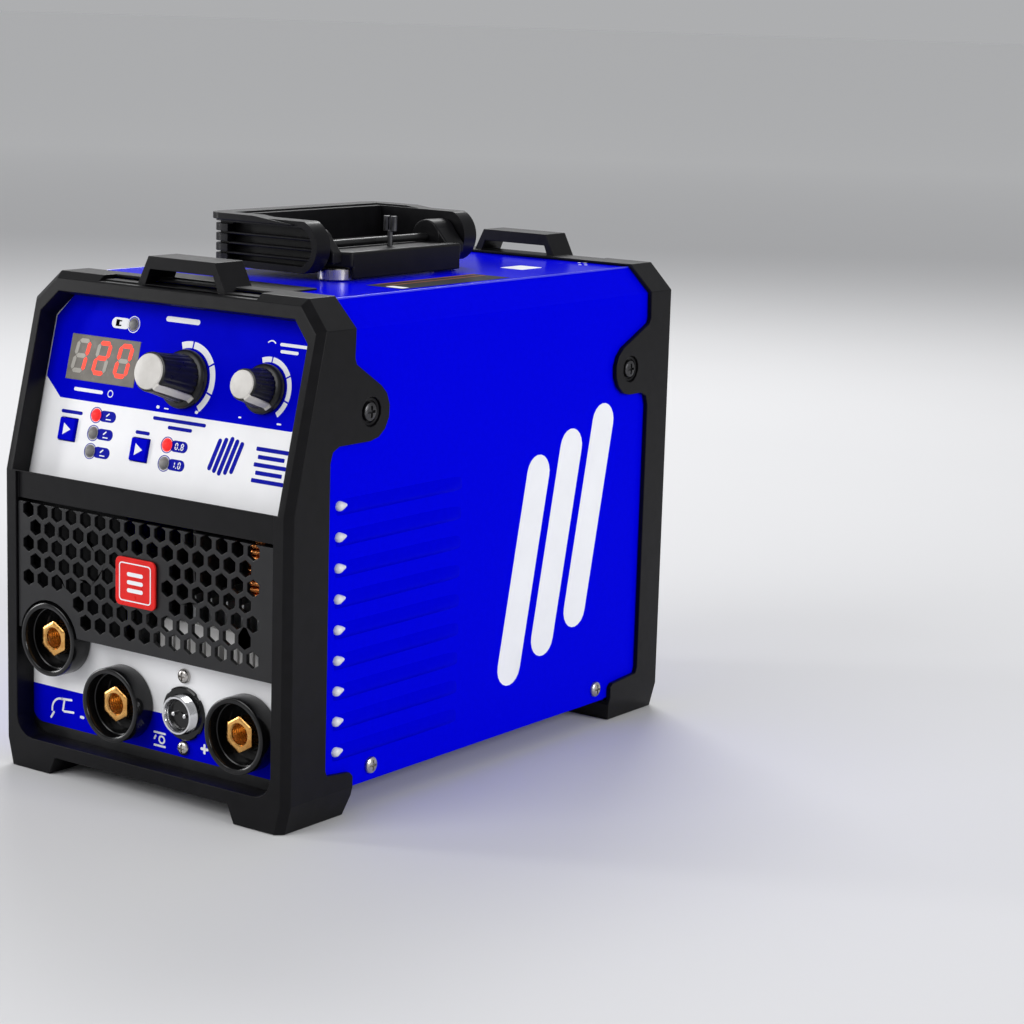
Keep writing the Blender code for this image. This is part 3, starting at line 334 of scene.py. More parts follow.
def metal(name, dark, light, rough=(0.2, 0.4), stretch=(1, 1, 1), scale=700):
    mat = new_material(name, light, rough[1], 1.0)
    vary_color(mat, dark, light, scale / 2, 4.0, stretch)
    vary_roughness(mat, *rough, scale, stretch)
    bumps(mat, scale, 0.15, 0.02, 3.0, stretch)
    return mat


def paint(name, dark, light, rough=(0.2, 0.3), specular=0.05):
    """Powder coat: an even colour with a fine orange peel."""
    mat = new_material(name, light, rough[1], 0.0, specular)
    vary_color(mat, dark, light, 420, 2.0)
    vary_roughness(mat, *rough, 260)
    bumps(mat, 900, 0.05, 0.006, 1.0)
    return mat


def ink(name, dark, light, rough=(0.3, 0.42), specular=0.15):
    mat = new_material(name, light, rough[1], 0.0, specular)
    vary_color(mat, dark, light, 60)
    vary_roughness(mat, *rough, 200)
    bumps(mat, 2600, 0.12, 0.01, 1.0)
    return mat


def glowing(name, color, strength):
    mat = ink(name, tuple(c * 0.8 for c in color), color)
    shader = shader_of(mat)
    shader.inputs["Emission Color"].default_value = (*color, 1)
    shader.inputs["Emission Strength"].default_value = strength
    return mat


BEZEL = moulded(
    "bezel_black", (0.0026, 0.0025, 0.0031), (0.0042, 0.004, 0.005), (0.34, 0.41), 1500, 0.012, 0.15
)
SATIN = moulded(
    "satin_black", (0.004, 0.004, 0.0045), (0.007, 0.007, 0.0075), (0.26, 0.38), 2200, 0.02
)
GLOSS = moulded(
    "socket_black", (0.003, 0.003, 0.0033), (0.005, 0.005, 0.0055), (0.14, 0.24), 2600, 0.01
)
GRILLE = moulded(
    "grille_black", (0.005, 0.005, 0.006), (0.008, 0.008, 0.009), (0.3, 0.42), 1500, 0.03
)
KNOB = moulded(
    "knob_black", (0.004, 0.004, 0.0045), (0.007, 0.007, 0.0075), (0.26, 0.38), 2600, 0.015
)
GREY_CAP = moulded("cap_grey", (0.5, 0.48, 0.45), (0.6, 0.58, 0.55), (0.34, 0.46), 2600, 0.015)
BLUE = paint("case_blue", (0.0002, 0.0005, 0.66), (0.0003, 0.0007, 0.69), (0.17, 0.2), 0.004)
# A darker copy of the case blue for the louvres: painted shade on their pressed shapes.
SHADED_LOUVRE_BLUE = paint(
    "shaded_louvre_blue", (0.0002, 0.0005, 0.59), (0.0003, 0.0007, 0.62), (0.2, 0.23), 0.004
)
# A paler, glossier copy of the case blue for thin rods along the top folds: the rods catch real
# light, and the paler colour is a painted highlight.
FOLD_HIGHLIGHT_BLUE = paint("fold_highlight_blue", (0.02, 0.025, 0.66), (0.03, 0.035, 0.69), (0.2, 0.24), 0.8)
# White paint for the louvres' front ends: painted highlights where their curved ends would catch
# the light.
LOUVRE_HIGHLIGHT = moulded(
    "louvre_highlight_white", (0.66, 0.67, 0.7), (0.74, 0.75, 0.78), (0.2, 0.3), 2600, 0.004, 0.4
)
# Near-black paint for painted shade: the dark wall behind the grille and the inner faces of the
# case, and on the top a pad of painted reflection.
SHADE_BLACK = moulded(
    "painted_shade_black", (0.002, 0.002, 0.0025), (0.004, 0.004, 0.0045), (0.5, 0.6), 900, 0.02, 0.1
)
FILM_WHITE = ink("film_white", (0.84, 0.84, 0.855), (0.88, 0.88, 0.895))
FILM_BLUE = ink("film_blue", (0.0002, 0.0008, 0.51), (0.0004, 0.0012, 0.56), (0.34, 0.44), 0.006)
INK_WHITE = ink("ink_white", (0.79, 0.8, 0.83), (0.83, 0.84, 0.87))
INK_BLUE = ink("ink_blue", (0.001, 0.003, 0.3), (0.0015, 0.005, 0.36), (0.3, 0.42), 0.05)
INK_ORANGE = ink("ink_orange", (0.2, 0.06, 0.02), (0.3, 0.09, 0.03), (0.3, 0.42), 0.02)
INK_DARK = ink("ink_dark", (0.006, 0.006, 0.007), (0.012, 0.012, 0.013), (0.3, 0.42), 0.02)
RED = moulded(
    "red_plastic", (0.62, 0.01, 0.008), (0.74, 0.014, 0.012), (0.26, 0.36), 2600, 0.008, 0.2
)
LENS = moulded(
    "display_lens", (0.17, 0.158, 0.14), (0.21, 0.195, 0.175), (0.2, 0.3), 3000, 0.004, 0.2
)
SEGMENT_ON = glowing("segment_on", (1.0, 0.065, 0.04), 0.75)
SEGMENT_OFF = ink("segment_off", (0.34, 0.32, 0.285), (0.42, 0.4, 0.36))
LAMP_ON = glowing("lamp_on", (0.85, 0.03, 0.03), 0.55)
LAMP_OFF = moulded(
    "lamp_off", (0.2, 0.196, 0.19), (0.25, 0.245, 0.238), (0.25, 0.35), 3000, 0.004, 0.25
)
BRASS = metal("brass", (0.55, 0.26, 0.07), (0.8, 0.46, 0.15), (0.18, 0.32))
CHROME = metal("chrome", (0.6, 0.6, 0.61), (0.78, 0.78, 0.8), (0.1, 0.2))
STEEL = metal("steel", (0.42, 0.4, 0.38), (0.62, 0.6, 0.57), (0.2, 0.36), (1, 1, 0.15), 500)
ZINC = metal("zinc_sheet", (0.24, 0.24, 0.25), (0.3, 0.3, 0.31), (0.42, 0.48), (1, 1, 1), 320)
DARK_STEEL = metal("dark_steel", (0.05, 0.05, 0.053), (0.09, 0.09, 0.094), (0.28, 0.42))
ALUMINIUM = metal("aluminium", (0.6, 0.61, 0.62), (0.7, 0.71, 0.72), (0.34, 0.4), (1, 0.1, 1), 900)
PALE_BLOCK = ink("pale_block", (0.72, 0.71, 0.7), (0.82, 0.81, 0.8))
COPPER = metal("copper_wire", (0.5, 0.16, 0.04), (0.72, 0.3, 0.1), (0.18, 0.32))
BOARD = ink("circuit_board", (0.004, 0.06, 0.02), (0.008, 0.1, 0.035))
SLEEVE = moulded(
    "capacitor_sleeve", (0.01, 0.012, 0.03), (0.016, 0.018, 0.045), (0.2, 0.3), 2000, 0.01
)


# -------------------- pieces


def to_metres(bm):
    shift = Matrix.Scale(MM, 4) @ Matrix.Translation((0, -ORIGIN_DEPTH, 0))
    bmesh.ops.transform(bm, matrix=shift, verts=bm.verts)
    return bm


def fill(mesh, bm, smooth):
    """Puts a bmesh into a mesh. Edges that bend more than the angle stay sharp."""
    bm.normal_update()
    bm.to_mesh(mesh)
    bm.free()
    mesh.shade_smooth()
    mesh.set_sharp_from_angle(angle=math.radians(smooth))


def placed(name, data):
    item = bpy.data.objects.new(name, data)
    bpy.context.scene.collection.objects.link(item)
    return item


def show(name, bm, mat, body, bevel, segments, smooth):
    """Makes an object from a bmesh in metres and lets it ride on a CAD body."""
    mesh = bpy.data.meshes.new(name)
    fill(mesh, bm, smooth)
    item = placed(name, mesh)
    mesh.materials.append(mat)
    if bevel:
        add_bevel(item, bevel, segments)
    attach(item, body)
    return item


def piece(name, bm, mat, body="case", bevel=0.0, segments=2, smooth=32.0, stands_for=None):
    """Makes a piece from a bmesh in millimetres. It can stand for a CAD node."""
    item = show(name, to_metres(bm), mat, body, bevel, segments, smooth)
    if stands_for:
        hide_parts(stands_for)
    return item


def look(node, bm, mat, **how):
    """Makes the piece that stands for a CAD node and rides on the node's body."""
    return piece(node + "_look", bm, mat, NODES[node]["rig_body"], stands_for=node, **how)


def add_bevel(item, width, segments=2, angle=28.0):
    change = item.modifiers.new("round", "BEVEL")
    change.width = width * MM
    change.segments = segments
    change.limit_method = "ANGLE"
    change.angle_limit = math.radians(angle)
    change.harden_normals = True
    weighted = item.modifiers.new("flat_faces", "WEIGHTED_NORMAL")
    weighted.keep_sharp = True
    weighted.weight = 90


def cleaned(bm):
    """Merges near points and flat faces."""
    bmesh.ops.remove_doubles(bm, verts=bm.verts, dist=WELD * MM)
    bmesh.ops.dissolve_limit(bm, angle_limit=math.radians(FLAT), verts=bm.verts, edges=bm.edges)
    return bm


def carve(item, bm, operation="DIFFERENCE"):
    """Takes a shape in millimetres away from an object, or keeps what both share."""
    mesh = bpy.data.meshes.new("tool")
    bm.normal_update()
    to_metres(bm).to_mesh(mesh)
    bm.free()
    tool = placed("tool", mesh)
    held = [(m.width, m.segments) for m in item.modifiers if m.type == "BEVEL"]
    item.modifiers.clear()
    change = item.modifiers.new("change", "BOOLEAN")
    change.operation, change.solver, change.object = operation, "EXACT", tool
    graph = bpy.context.evaluated_depsgraph_get()
    cut_mesh = bpy.data.meshes.new_from_object(item.evaluated_get(graph))
    item.modifiers.clear()
    item.data = cut_mesh
    bpy.data.objects.remove(tool)
    bm = bmesh.new()
    bm.from_mesh(cut_mesh)
    fill(cut_mesh, cleaned(bm), 32.0)
    for width, segments in held:
        add_bevel(item, width / MM, segments)
    return item


def refined(node, mat, bevel=0.0, segments=2):
    """A copy of a CAD node with merged flat faces and rounded edges, which stands for it."""
    bm = bmesh.new()
    bm.from_mesh(NODES[node].data)
    body = NODES[node]["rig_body"]
    item = show(node + "_look", cleaned(bm), mat, body, bevel, segments, 32.0)
    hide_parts(node)
    return item


def lean_print(name, outlines, mat, depth=PANEL, thick=0.1, body="case"):
    """Print on the leaning control panel."""
    return piece(name, leaning(prisms(outlines, "Y", depth - thick, depth + SUNK)), mat, body)


def front_print(name, outlines, mat, depth, thick=0.1):
    """Print on an upright face that looks forward."""
    return piece(name, prisms(outlines, "Y", depth - thick, depth + SUNK), mat)


def top_print(name, outlines, mat, thick=0.08):
    return piece(name, prisms(outlines, "Z", COVER_TOP - SUNK, COVER_TOP + thick), mat)


# -------------------- control panel


# Spots on the leaning face are x and the distance up the face.
CURRENT = (5.0, 49.0)
TRIM = (48.5, 49.6)
LED_ON = ((-41.5, 28.9), (1.1, 21.3))
LED_OFF = ((-41.5, 21.2), (-41.5, 13.5), (1.1, 13.6), (-29.2, 68.8))
SEGMENTS = {"1": "bc", "2": "abged", "0": "abcdef", "8": "abcdefg"}


def digit(x, y, height, lit, wide=0.5, weight=0.125, slant=8.0):
    """Outlines of a seven-segment digit, as the lit ones and the dark ones."""
    half_w, half_h = height * wide / 2, height / 2
    t = height * weight / 2
    gap = t * 0.25
    ends = {
        "a": ((-1, 1), (1, 1)),
        "b": ((1, 1), (1, 0)),
        "c": ((1, 0), (1, -1)),
        "d": ((-1, -1), (1, -1)),
        "e": ((-1, 0), (-1, -1)),
        "f": ((-1, 1), (-1, 0)),
        "g": ((-1, 0), (1, 0)),
    }
    shapes = ([], [])
    for key, (start, end) in ends.items():
        a = Vector((start[0] * (half_w - t), start[1] * (half_h - t)))
        b = Vector((end[0] * (half_w - t), end[1] * (half_h - t)))
        along = (b - a).normalized()
        side = Vector((-along.y, along.x)) * t
        a, b = a + along * gap, b - along * gap
        tip = along * t
        outline = [a, a + tip + side, b - tip + side, b, b - tip - side, a + tip - side]
        leaned = [(x + p.x + p.y * math.tan(math.radians(slant)), y + p.y) for p in outline]
        shapes[0 if key in lit else 1].append(leaned)
    return shapes


def display():
    refined("display_module", LENS, 0.3, 2)
    up, height, face = 52.9, 14.8, PANEL - 0.3
    lit, dark = [], []
    for x, value in ((-56.1, "1"), (-43.8, "2"), (-31.2, "0")):
        shapes = digit(x, up, height, SEGMENTS[value], 0.56, 0.13)
        lit += shapes[0]
        dark += shapes[1]
    lean_print("display_lit_segments", lit, SEGMENT_ON, face, 0.08)
    lean_print("display_dark_segments", dark, SEGMENT_OFF, face, 0.08)


def panel_fields():
    field = [(-74.4, 42.4), (-64.2, 34.1), (65.1, 34.3)]
    field += arc((65.6, 38.0), 3.6, -80, 0, 5)[1:]
    field += [(69.4, 66), (74.4, 67), (74.4, 68.6), (66.0, 78.6), (-66.0, 78.6), (-74.4, 68.6)]
    lean_print("panel_blue_field", [field], FILM_BLUE, PANEL, 0.06)


def knob_arc(spot, inner, outer, ticks):
    """The printed scale round a knob, with gaps at the ticks."""
    edges = [112.0, *ticks, -52.0]
    return [band(*spot, inner, outer, a - 1.6, b + 1.6, 10) for a, b in zip(edges, edges[1:])]


def panel_marks():
    """White marks on the blue field and dark blue ones on the white field, all of them generic."""
    white = knob_arc(CURRENT, 13.2, 16.0, (86.0, 30.0, -18.0))
    white += knob_arc(TRIM, 11.2, 13.4, (86.0, 30.0, -18.0))
    white += [bar(-48.5, 38.6, 17, 1.5), band(-35.6, 38.6, 1.2, 1.6, 0, 359, 20)]
    white += [bar(-36.6, 68.7, 10.4, 4.6), bar(-2.0, 73.0, 19, 2.2)]
    white += [band(-29.2, 68.8, 3.2, 3.55, 0, 359, 24)]
    white += [bar(59.5, 68.4, 15, 1.3), bar(57.5, 65.6, 9.5, 1.3)]
    white += [band(47.6, 66.8, 2.4, 2.9, 40, 140, 8)]
    white += [bar(-7.6, 36.2, 1.8, 1.3), bar(-2.8, 36.0, 2.6, 0.5), bar(14.0, 36.4, 1.8, 1.3)]
    white += [bar(37.5, 37.0, 1.6, 0.7), bar(58.5, 36.6, 2.4, 0.7)]
    lean_print("panel_white_marks", white, INK_WHITE, PANEL, 0.1)

    blue = [bar(-55.8, 28.6, 12.5, 1.5), bar(-13.6, 24.6, 8.0, 1.5)]
    blue += [bar(5.5, 31.5, 29.5, 1.5), bar(6.5, 28.5, 13.5, 1.5)]
    for x, up in LED_ON + LED_OFF[:3]:
        blue.append(bar(x + 6.6, up, 9.6, 4.7))
        blue.append(band(x, up, 3.1, 3.45, 0, 359, 24))
    blue += [bar(33.6 + 3.0 * i, 20.6, 17.0 - 1.5 * abs(i), 2.0, 74) for i in range(-2, 3)]
    blue += [rounded(57.6, 12.9 + 3.2 * i, 17.0 - 3.0 * (i % 2), 1.7, 0.4) for i in range(5)]
    lean_print("panel_blue_marks", blue, INK_BLUE, PANEL, 0.1)

    small = []
    for x, up, text in ((8.0, 21.3, "08"), (8.0, 13.6, "10")):
        for i, value in enumerate(text):
            small += digit(x - 1.6 + 3.2 * i, up, 2.9, SEGMENTS[value], 0.56, 0.16, 4)[0]
        small.append(bar(x, up - 1.2, 0.55, 0.5))
    for up in (28.9, 21.2, 13.5):
        small += [bar(-34.8, up + 0.7, 2.2, 0.6, 40), bar(-34.2, up - 1.2, 3.0, 0.45)]
    lean_print("panel_pill_marks", small, INK_WHITE, PANEL - 0.1, 0.06)
    dark = [bar(-38.4, 68.7, 0.9, 2.8), bar(-36.9, 69.7, 1.6, 0.6), bar(-36.9, 67.7, 1.6, 0.6)]
    lean_print("panel_dark_marks", dark, INK_DARK, PANEL - 0.1, 0.06)


def lamps():
    dome = [(0, -2.0), (0.9, -1.85), (1.7, -1.4), (2.2, -0.7), (2.35, -0.15), (2.8, -0.12)]
    dome = [(r, PANEL + a) for r, a in dome + [(2.8, 1.5), (0, 1.5)]]
    for name, spots, mat in (("lamps_lit", LED_ON, LAMP_ON), ("lamps_dark", LED_OFF, LAMP_OFF)):
        parts = [turned(dome, "Y", (x, 0, up), 28) for x, up in spots]
        piece(name, leaning(merged(parts)), mat)


def keys():
    for node, (x, up) in (("process_button", (-56.2, 21.1)), ("wire_button", (-13.4, 17.4))):
        refined(node, FILM_BLUE, 0.6, 3)
        arrow = [(x - 1.7, up - 2.5), (x + 2.5, up), (x - 1.7, up + 2.5)]
        lean_print(node + "_arrow", [arrow], INK_WHITE, PANEL - 1.4, 0.08, node)


def knob(node, spot, length, skirt, waist, crown, cap, pointing):
    """A fluted knob with a skirt, a grey cap and a pointer. The sizes of its parts are radii."""
    centre = (spot[0], 0, spot[1])
    front, back = PANEL - length, PANEL - 0.5
    flutes, steps = 22, 8
    span = back - 3.6 - front - 1.6

    def fluted(radius, along, angle):
        if front + 1.8 < along < back - 3.4 and radius > crown * 0.9:
            return radius - 0.32 * flute(flutes, angle) ** 2
        return radius

    body = [(0, front + 1.0), (crown - 0.8, front + 1.0)]
    body += [(crown - 0.1, front + 1.3), (crown, front + 1.7)]
    for i in range(1, steps + 1):
        t = i / steps
        body.append((crown + (waist - crown) * t**1.3, front + 1.9 + (span - 0.4) * t))
    body += [(waist - 0.5, back - 3.3), (skirt - 1.2, back - 3.0), (skirt - 0.3, back - 2.4)]
    body += [(skirt, back - 1.6), (skirt, back - 0.3), (skirt - 0.3, back)]
    body += [(4.0, back), (4.0, back - 6), (0, back - 6)]
    look(node, leaning(turned(body, "Y", centre, 8 * flutes, fluted)), KNOB, smooth=40)
    disc = [(0, front), (cap - 0.5, front), (cap - 0.12, front + 0.12), (cap, front + 0.5)]
    disc += [(cap, front + 1.2), (0, front + 1.2)]
    look(node + "_cap", leaning(turned(disc, "Y", centre, 64)), GREY_CAP)
    rim = [(cap - 2.2, front + 0.1), (crown + 0.1, front + 0.25), (crown + 0.5, front + 1.2)]
    rim += [(waist + 0.45, back - 3.6), (skirt - 0.6, back - 3.1), (skirt - 0.6, back - 2.5)]
    rim += [(waist - 1.0, back - 2.9), (crown - 1.2, front + 2.0), (cap - 2.2, front + 1.2)]
    turn = Matrix.Rotation(math.radians(-pointing), 4, "Y")
    pointer = moved(prism(rim, "Z", -1.6, 1.6), Matrix.Translation(centre) @ turn)
    piece(node + "_pointer", leaning(pointer), GREY_CAP, node, 0.3, 2)


def control_face():
    refined("control_panel", FILM_WHITE, 0.15)
    board = refined("control_board", BOARD)
    tips = [rod(2.6, "Y", (x, 0, up), PANEL - 1.4, PANEL + 0.6, 20) for x, up in LED_ON + LED_OFF]
    carve(board, leaning(merged(tips)))
    display()
    panel_fields()
    panel_marks()
    lamps()
    keys()
    knob("current_knob", CURRENT, 23.2, 12.3, 10.2, 8.3, 7.4, -47)
    knob("trim_knob", TRIM, 15.4, 10.3, 8.3, 6.6, 5.8, -52)


# -------------------- lower front


SOCKETS = {
    "torch_socket": (-54, 59),
    "negative_socket": (-17.3, 36.8),
    "positive_socket": (52.3, 36.7),
}
SOCKET_FACE = 10.3  # the face of the connector panel


def power_socket(node, x, z):
    """A round housing and, deep in it, the hexagonal brass contact with its thread."""
    cup = [(13.4, 1.0), (13.7, 0.35), (14.3, 0.05), (15.2, 0), (15.8, 0.35), (16.0, 1.0)]
    cup += [(16.0, 9.4), (15.7, 10.0), (14.7, 10.0), (14.7, 24.0), (7.0, 24.0), (7.0, 14.2)]
    cup += [(8.7, 14.2), (8.7, 12.4), (10.0, 12.4), (10.0, 13.0), (12.9, 13.0), (13.4, 12.5)]
    cup += [(13.4, 6.4), (13.0, 6.2), (13.0, 5.2), (13.4, 5.0)]
    look(node, turned(cup, "Y", (x, 0, z), 96), GLOSS, smooth=38)
    flat, corner = 6.67, 7.7

    def hexed(radius, along, angle):
        if radius < 6.6:
            return radius
        return min(hex_reach(flat, angle) * radius / corner, radius)

    profile = [(4.35, 4.1), (4.9, 3.5), (6.75, 3.5), (corner, 3.9), (corner, 12.8), (6.0, 12.8)]
    profile += [(6.0, 33.0), (2.2, 33.0), (2.2, 20.0), (4.2, 20.0)]
    threads = 12
    for i in range(threads):
        low = 20.0 - 15.4 * (i + 1) / threads
        profile += [(4.1, low + 0.9), (4.4, low + 0.3)]
    look(node + "_contact", turned(profile, "Y", (x, 0, z), 72, hexed), BRASS, smooth=30)


def control_connector():
    x, z = CONNECTOR
    centre = (x, 0, z)
    shell = [(6.9, 5.4), (7.2, 5.0), (7.9, 5.0), (8.15, 5.3)]
    for i in range(5):
        shell += [(7.75, 5.75 + 0.8 * i), (8.15, 6.1 + 0.8 * i)]
    shell += [(8.15, 9.9), (7.9, 10.0), (7.9, 24.0), (6.9, 24.0)]
    for i in range(6):
        low = 12.0 - i * 1.05
        shell += [(6.9, low), (6.65, low - 0.5)]
    look("trigger_connector", turned(shell, "Y", centre, 72), CHROME, smooth=28)

    def notched(radius, along, angle):
        return radius - (0.7 if radius > 11 and abs(math.degrees(angle) % 90 - 45) < 6 else 0)

    nut = [(8.25, 9.2), (8.6, 8.8), (10.9, 8.8), (11.5, 9.3), (11.5, 10.2), (8.25, 10.2)]
    piece("trigger_connector_nut", turned(nut, "Y", centre, 90, notched), GLOSS, smooth=30)
    insert = [(0, 7.6), (1.1, 7.6), (1.1, 8.0), (5.6, 8.0), (6.0, 7.7), (6.5, 8.1)]
    insert += [(6.5, 22.0), (0, 22.0)]
    look("trigger_insert", turned(insert, "Y", centre, 48), GLOSS)
    pin = [(0, 6.0), (0.5, 6.05), (0.95, 6.4), (1.0, 7.0), (1.0, 11.5), (0, 11.5)]
    pins = [turned(pin, "Y", (x + dx, 0, z), 20) for dx in (-3.1, 3.1)]
    piece("trigger_pins", merged(pins), CHROME)


def symbols():
    """Generic symbols beside the sockets: torch, minus, feeder and plus."""
    depth = SOCKET_FACE
    low, corner = 18.6, 6.5
    field = [(73.4, low), (73.4, 35.3), (-73.4, 35.3)]
    field += arc((-73.4 + corner, low + corner), corner, 180, 270, 6)
    blue = front_print("connector_blue_field", [field], FILM_BLUE, depth, 0.06)
    # A dark band across the foot of the recessed connector panel: painted shade.
    shade = [(-76, 11.9), (76, 11.9), (76, 26.5), (-76, 26.5)]
    dark = front_print("connector_shade_band", [shade], GRILLE, depth, 0.03)
    for x, z, radius in [(*spot, 14.9) for spot in SOCKETS.values()] + [(*CONNECTOR, 8.3)]:
        for layer in (blue, dark):
            carve(layer, rod(radius, "Y", (x, 0, z), depth - 2, depth + 2, 48))
    white = [
        band(-56.2, 25.4, 4.9, 5.8, 80, 190),
        bar(-61.4, 22.8, 4.0, 1.0, 55),
        bar(-52.6, 31.0, 6.6, 1.0, 4),
        bar(-54.6, 28.0, 5.4, 1.0, 78),
        bar(-51.4, 25.7, 6.6, 1.0, 4),
        bar(-43.4, 24.8, 2.6, 1.2),
        bar(2.2, 26.6, 7.0, 0.9),
        bar(2.2, 21.0, 7.0, 0.9),
        band(3.4, 23.8, 1.1, 1.9, 0, 359, 20),
        bar(-0.4, 24.4, 2.4, 0.9, 60),
        bar(27.6, 24.4, 4.4, 1.2),
    ]
    front_print("connector_symbols", white, INK_WHITE, depth, 0.1)
    upright = rounded(27.6, 24.4, 1.2, 4.4, 0.5)
    front_print("connector_symbol_upright", [upright], INK_WHITE, depth, 0.11)


def behind_grille():
    """Behind the grille: a dark wall of painted shade at the left, pale blocks and a choke at the
    right.
    """
    wall = piece("shade_wall", block((-72.5, -15.0), (7.6, 8.4), (63.2, 117.0)), SHADE_BLACK, bevel=0.2)
    x, z = SOCKETS["torch_socket"]
    carve(wall, rod(16.5, "Y", (x, 0, z), 0, 20, 64))
    x, y = 50, 21
    loops = []
    for i in range(9):
        ring = [(*spot, 92 + 2.6 * i) for spot in circle(x, y, 6, 20)]
        loops.append(sweep(ring, 1.15, 8, True))
    loops.append(rod(4.6, "Z", (x, y, 0), 90, 115, 24))
    piece("front_choke", merged(loops), COPPER, smooth=60)
    lefts = [start + 8.5 * i for start in (3.0, 38.5) for i in range(4)]
    blocks = [block((left, left + 7.4), (9.4, 15.4), (62.9, 77.0)) for left in lefts]
    piece("pale_blocks", merged(blocks), PALE_BLOCK, bevel=0.4)


def badge():
    """A plain red plate with a thin frame and three bars."""
    left, right, low, high = -13.3, 9.2, 81.5, 102.0
    x, z = (left + right) / 2, (low + high) / 2
    plate = prism(rounded(x, z, right - left, high - low, 2.6, 6), "Y", -0.3, 0.75)
    look("badge_plate", plate, RED, bevel=0.3, segments=3)
    ring = prism(rounded(x, z, 18.0, 16.4, 1.6, 5), "Y", -0.42, -0.25)
    line = piece("badge_line", ring, INK_WHITE)
    carve(line, prism(rounded(x, z, 17.0, 15.4, 1.2, 5), "Y", -0.6, -0.1))
    bars = [bar(x, z + up, 9, 1.7) for up in (3.4, 0, -3.4)]
    front_print("badge_bars", bars, INK_WHITE, -0.3, 0.12)


def lower_front():
    refined("connector_panel", FILM_WHITE, 0.15)
    for node, (x, z) in SOCKETS.items():
        power_socket(node, x, z)
    control_connector()
    symbols()
    refined("vent_grille", GRILLE, 0.28)
    behind_grille()
    badge()


# -------------------- bezels, case and handle


def lug_washer(side, y):
    """The moulded ring round a lug's screw."""
    face = 79.4
    ring = [(4.5, face), (4.7, face + 0.5), (5.5, face + 0.75), (6.2, face + 0.5), (6.2, face)]
    shape = turned(ring, "X", (0, y, LUG_Z), 48)
    if side < 0:
        shape = moved(shape, Matrix.Scale(-1, 4, (1, 0, 0)))
        bmesh.ops.reverse_faces(shape, faces=shape.faces)
    return shape


def bezels():
    refined("front_bezel", BEZEL, 0.9, 3)
    refined("rear_bezel", BEZEL, 0.9, 3)
    rings = [lug_washer(side, y) for side in (-1, 1) for y in LUG_Y]
    piece("lug_rings", merged(rings), BEZEL)
    ledge = [
        block((-43.8, 43.8), (34.0, 41.4), (212.65, 213.3)),
        block((-16.0, 16.0), (36.0, 38.2), (213.5, 214.6)),
        block((-43.6, 43.6), (24.0, 33.9), (211.7, 212.3)),
    ]
    piece("bezel_ledge", merged(ledge), BEZEL, bevel=0.25)
    # A near-black pad on the top behind the front guard: a painted reflection of the black handle
    # in the glossy top.
    piece("top_dark_reflection", prism(rounded(0, 51.8, 84, 20, 2.0), "Z", 212.45, 213.2), SHADE_BLACK, bevel=0.25)


def louvre(z, y_low=31.5, y_high=115.0):
    """A pressed louvre: a gentle rise from above, a steep drop below and eased ends."""
    along, across = 40, 14
    height, half = 1.5, 3.6
    crest = 0.72
    bm = bmesh.new()
    rows = []
    for i in range(along + 1):
        ease = 0.5 - 0.5 * math.cos(math.pi * i / along)
        y = y_low + (y_high - y_low) * ease
        end = min((y - y_low) / 5.0, (y_high - y) / 40.0, 1.0)
        lift = math.sqrt(max(0.0, 1 - (1 - end) ** 2))
        row = []
        for k in range(across + 1):
            s = k / across
            if s < crest:
                rise = math.sin(math.pi / 2 * s / crest)
            else:
                rise = max(math.cos(math.pi / 2 * (s - crest) / (1 - crest)), 0.0)
            x = COVER_X - 0.15 + height * lift * rise**1.2
            row.append(bm.verts.new((x, y, z + half - 2 * half * s)))
        rows.append(row)
    bridge(bm, rows, ring=False)
    top = [row[0] for row in rows]
    bottom = [row[-1] for row in rows]
    return finished(bm, [top + rows[-1][1:-1] + bottom[::-1] + rows[0][1:-1][::-1]])


def louvre_highlight(z):
    """A painted highlight on a louvre's front end: a white teardrop, round at the front and drawn
    out to the rear.
    """
    start, end, along, around = 30.7, 38.8, 12, 14
    widest = 0.32
    bm = bmesh.new()
    rows = []
    for i in range(along + 1):
        t = i / along
        swell = math.sqrt(max(0.0, 1 - (min(t, widest) / widest - 1) ** 2))
        taper = (1 - max(0.0, t - widest) / (1 - widest)) ** 0.8
        half = max(2.15 * swell * taper, 0.04)
        y = start + (end - start) * t
        row = []
        for k in range(around):
            a = 2 * math.pi * k / around
            x = COVER_X + 0.1 + half * 1.05 * math.cos(a)
            row.append(bm.verts.new((x, y, z + half * math.sin(a))))
        rows.append(row)
    bridge(bm, rows)
    return finished(bm, (rows[0], rows[-1]))


def darkened(item):
    """Paints the faces that look into the case near-black, as painted shade inside the case."""
    item.data.materials.append(SHADE_BLACK)
    middle = Vector((0.0, 0.0, 0.11))
    for face in item.data.polygons:
        inward = (middle - face.center) * Vector((1, 0, 1))
        if face.normal.dot(inward) > 0.3 * inward.length and abs(face.normal.y) < 0.3:
            face.material_index = 1


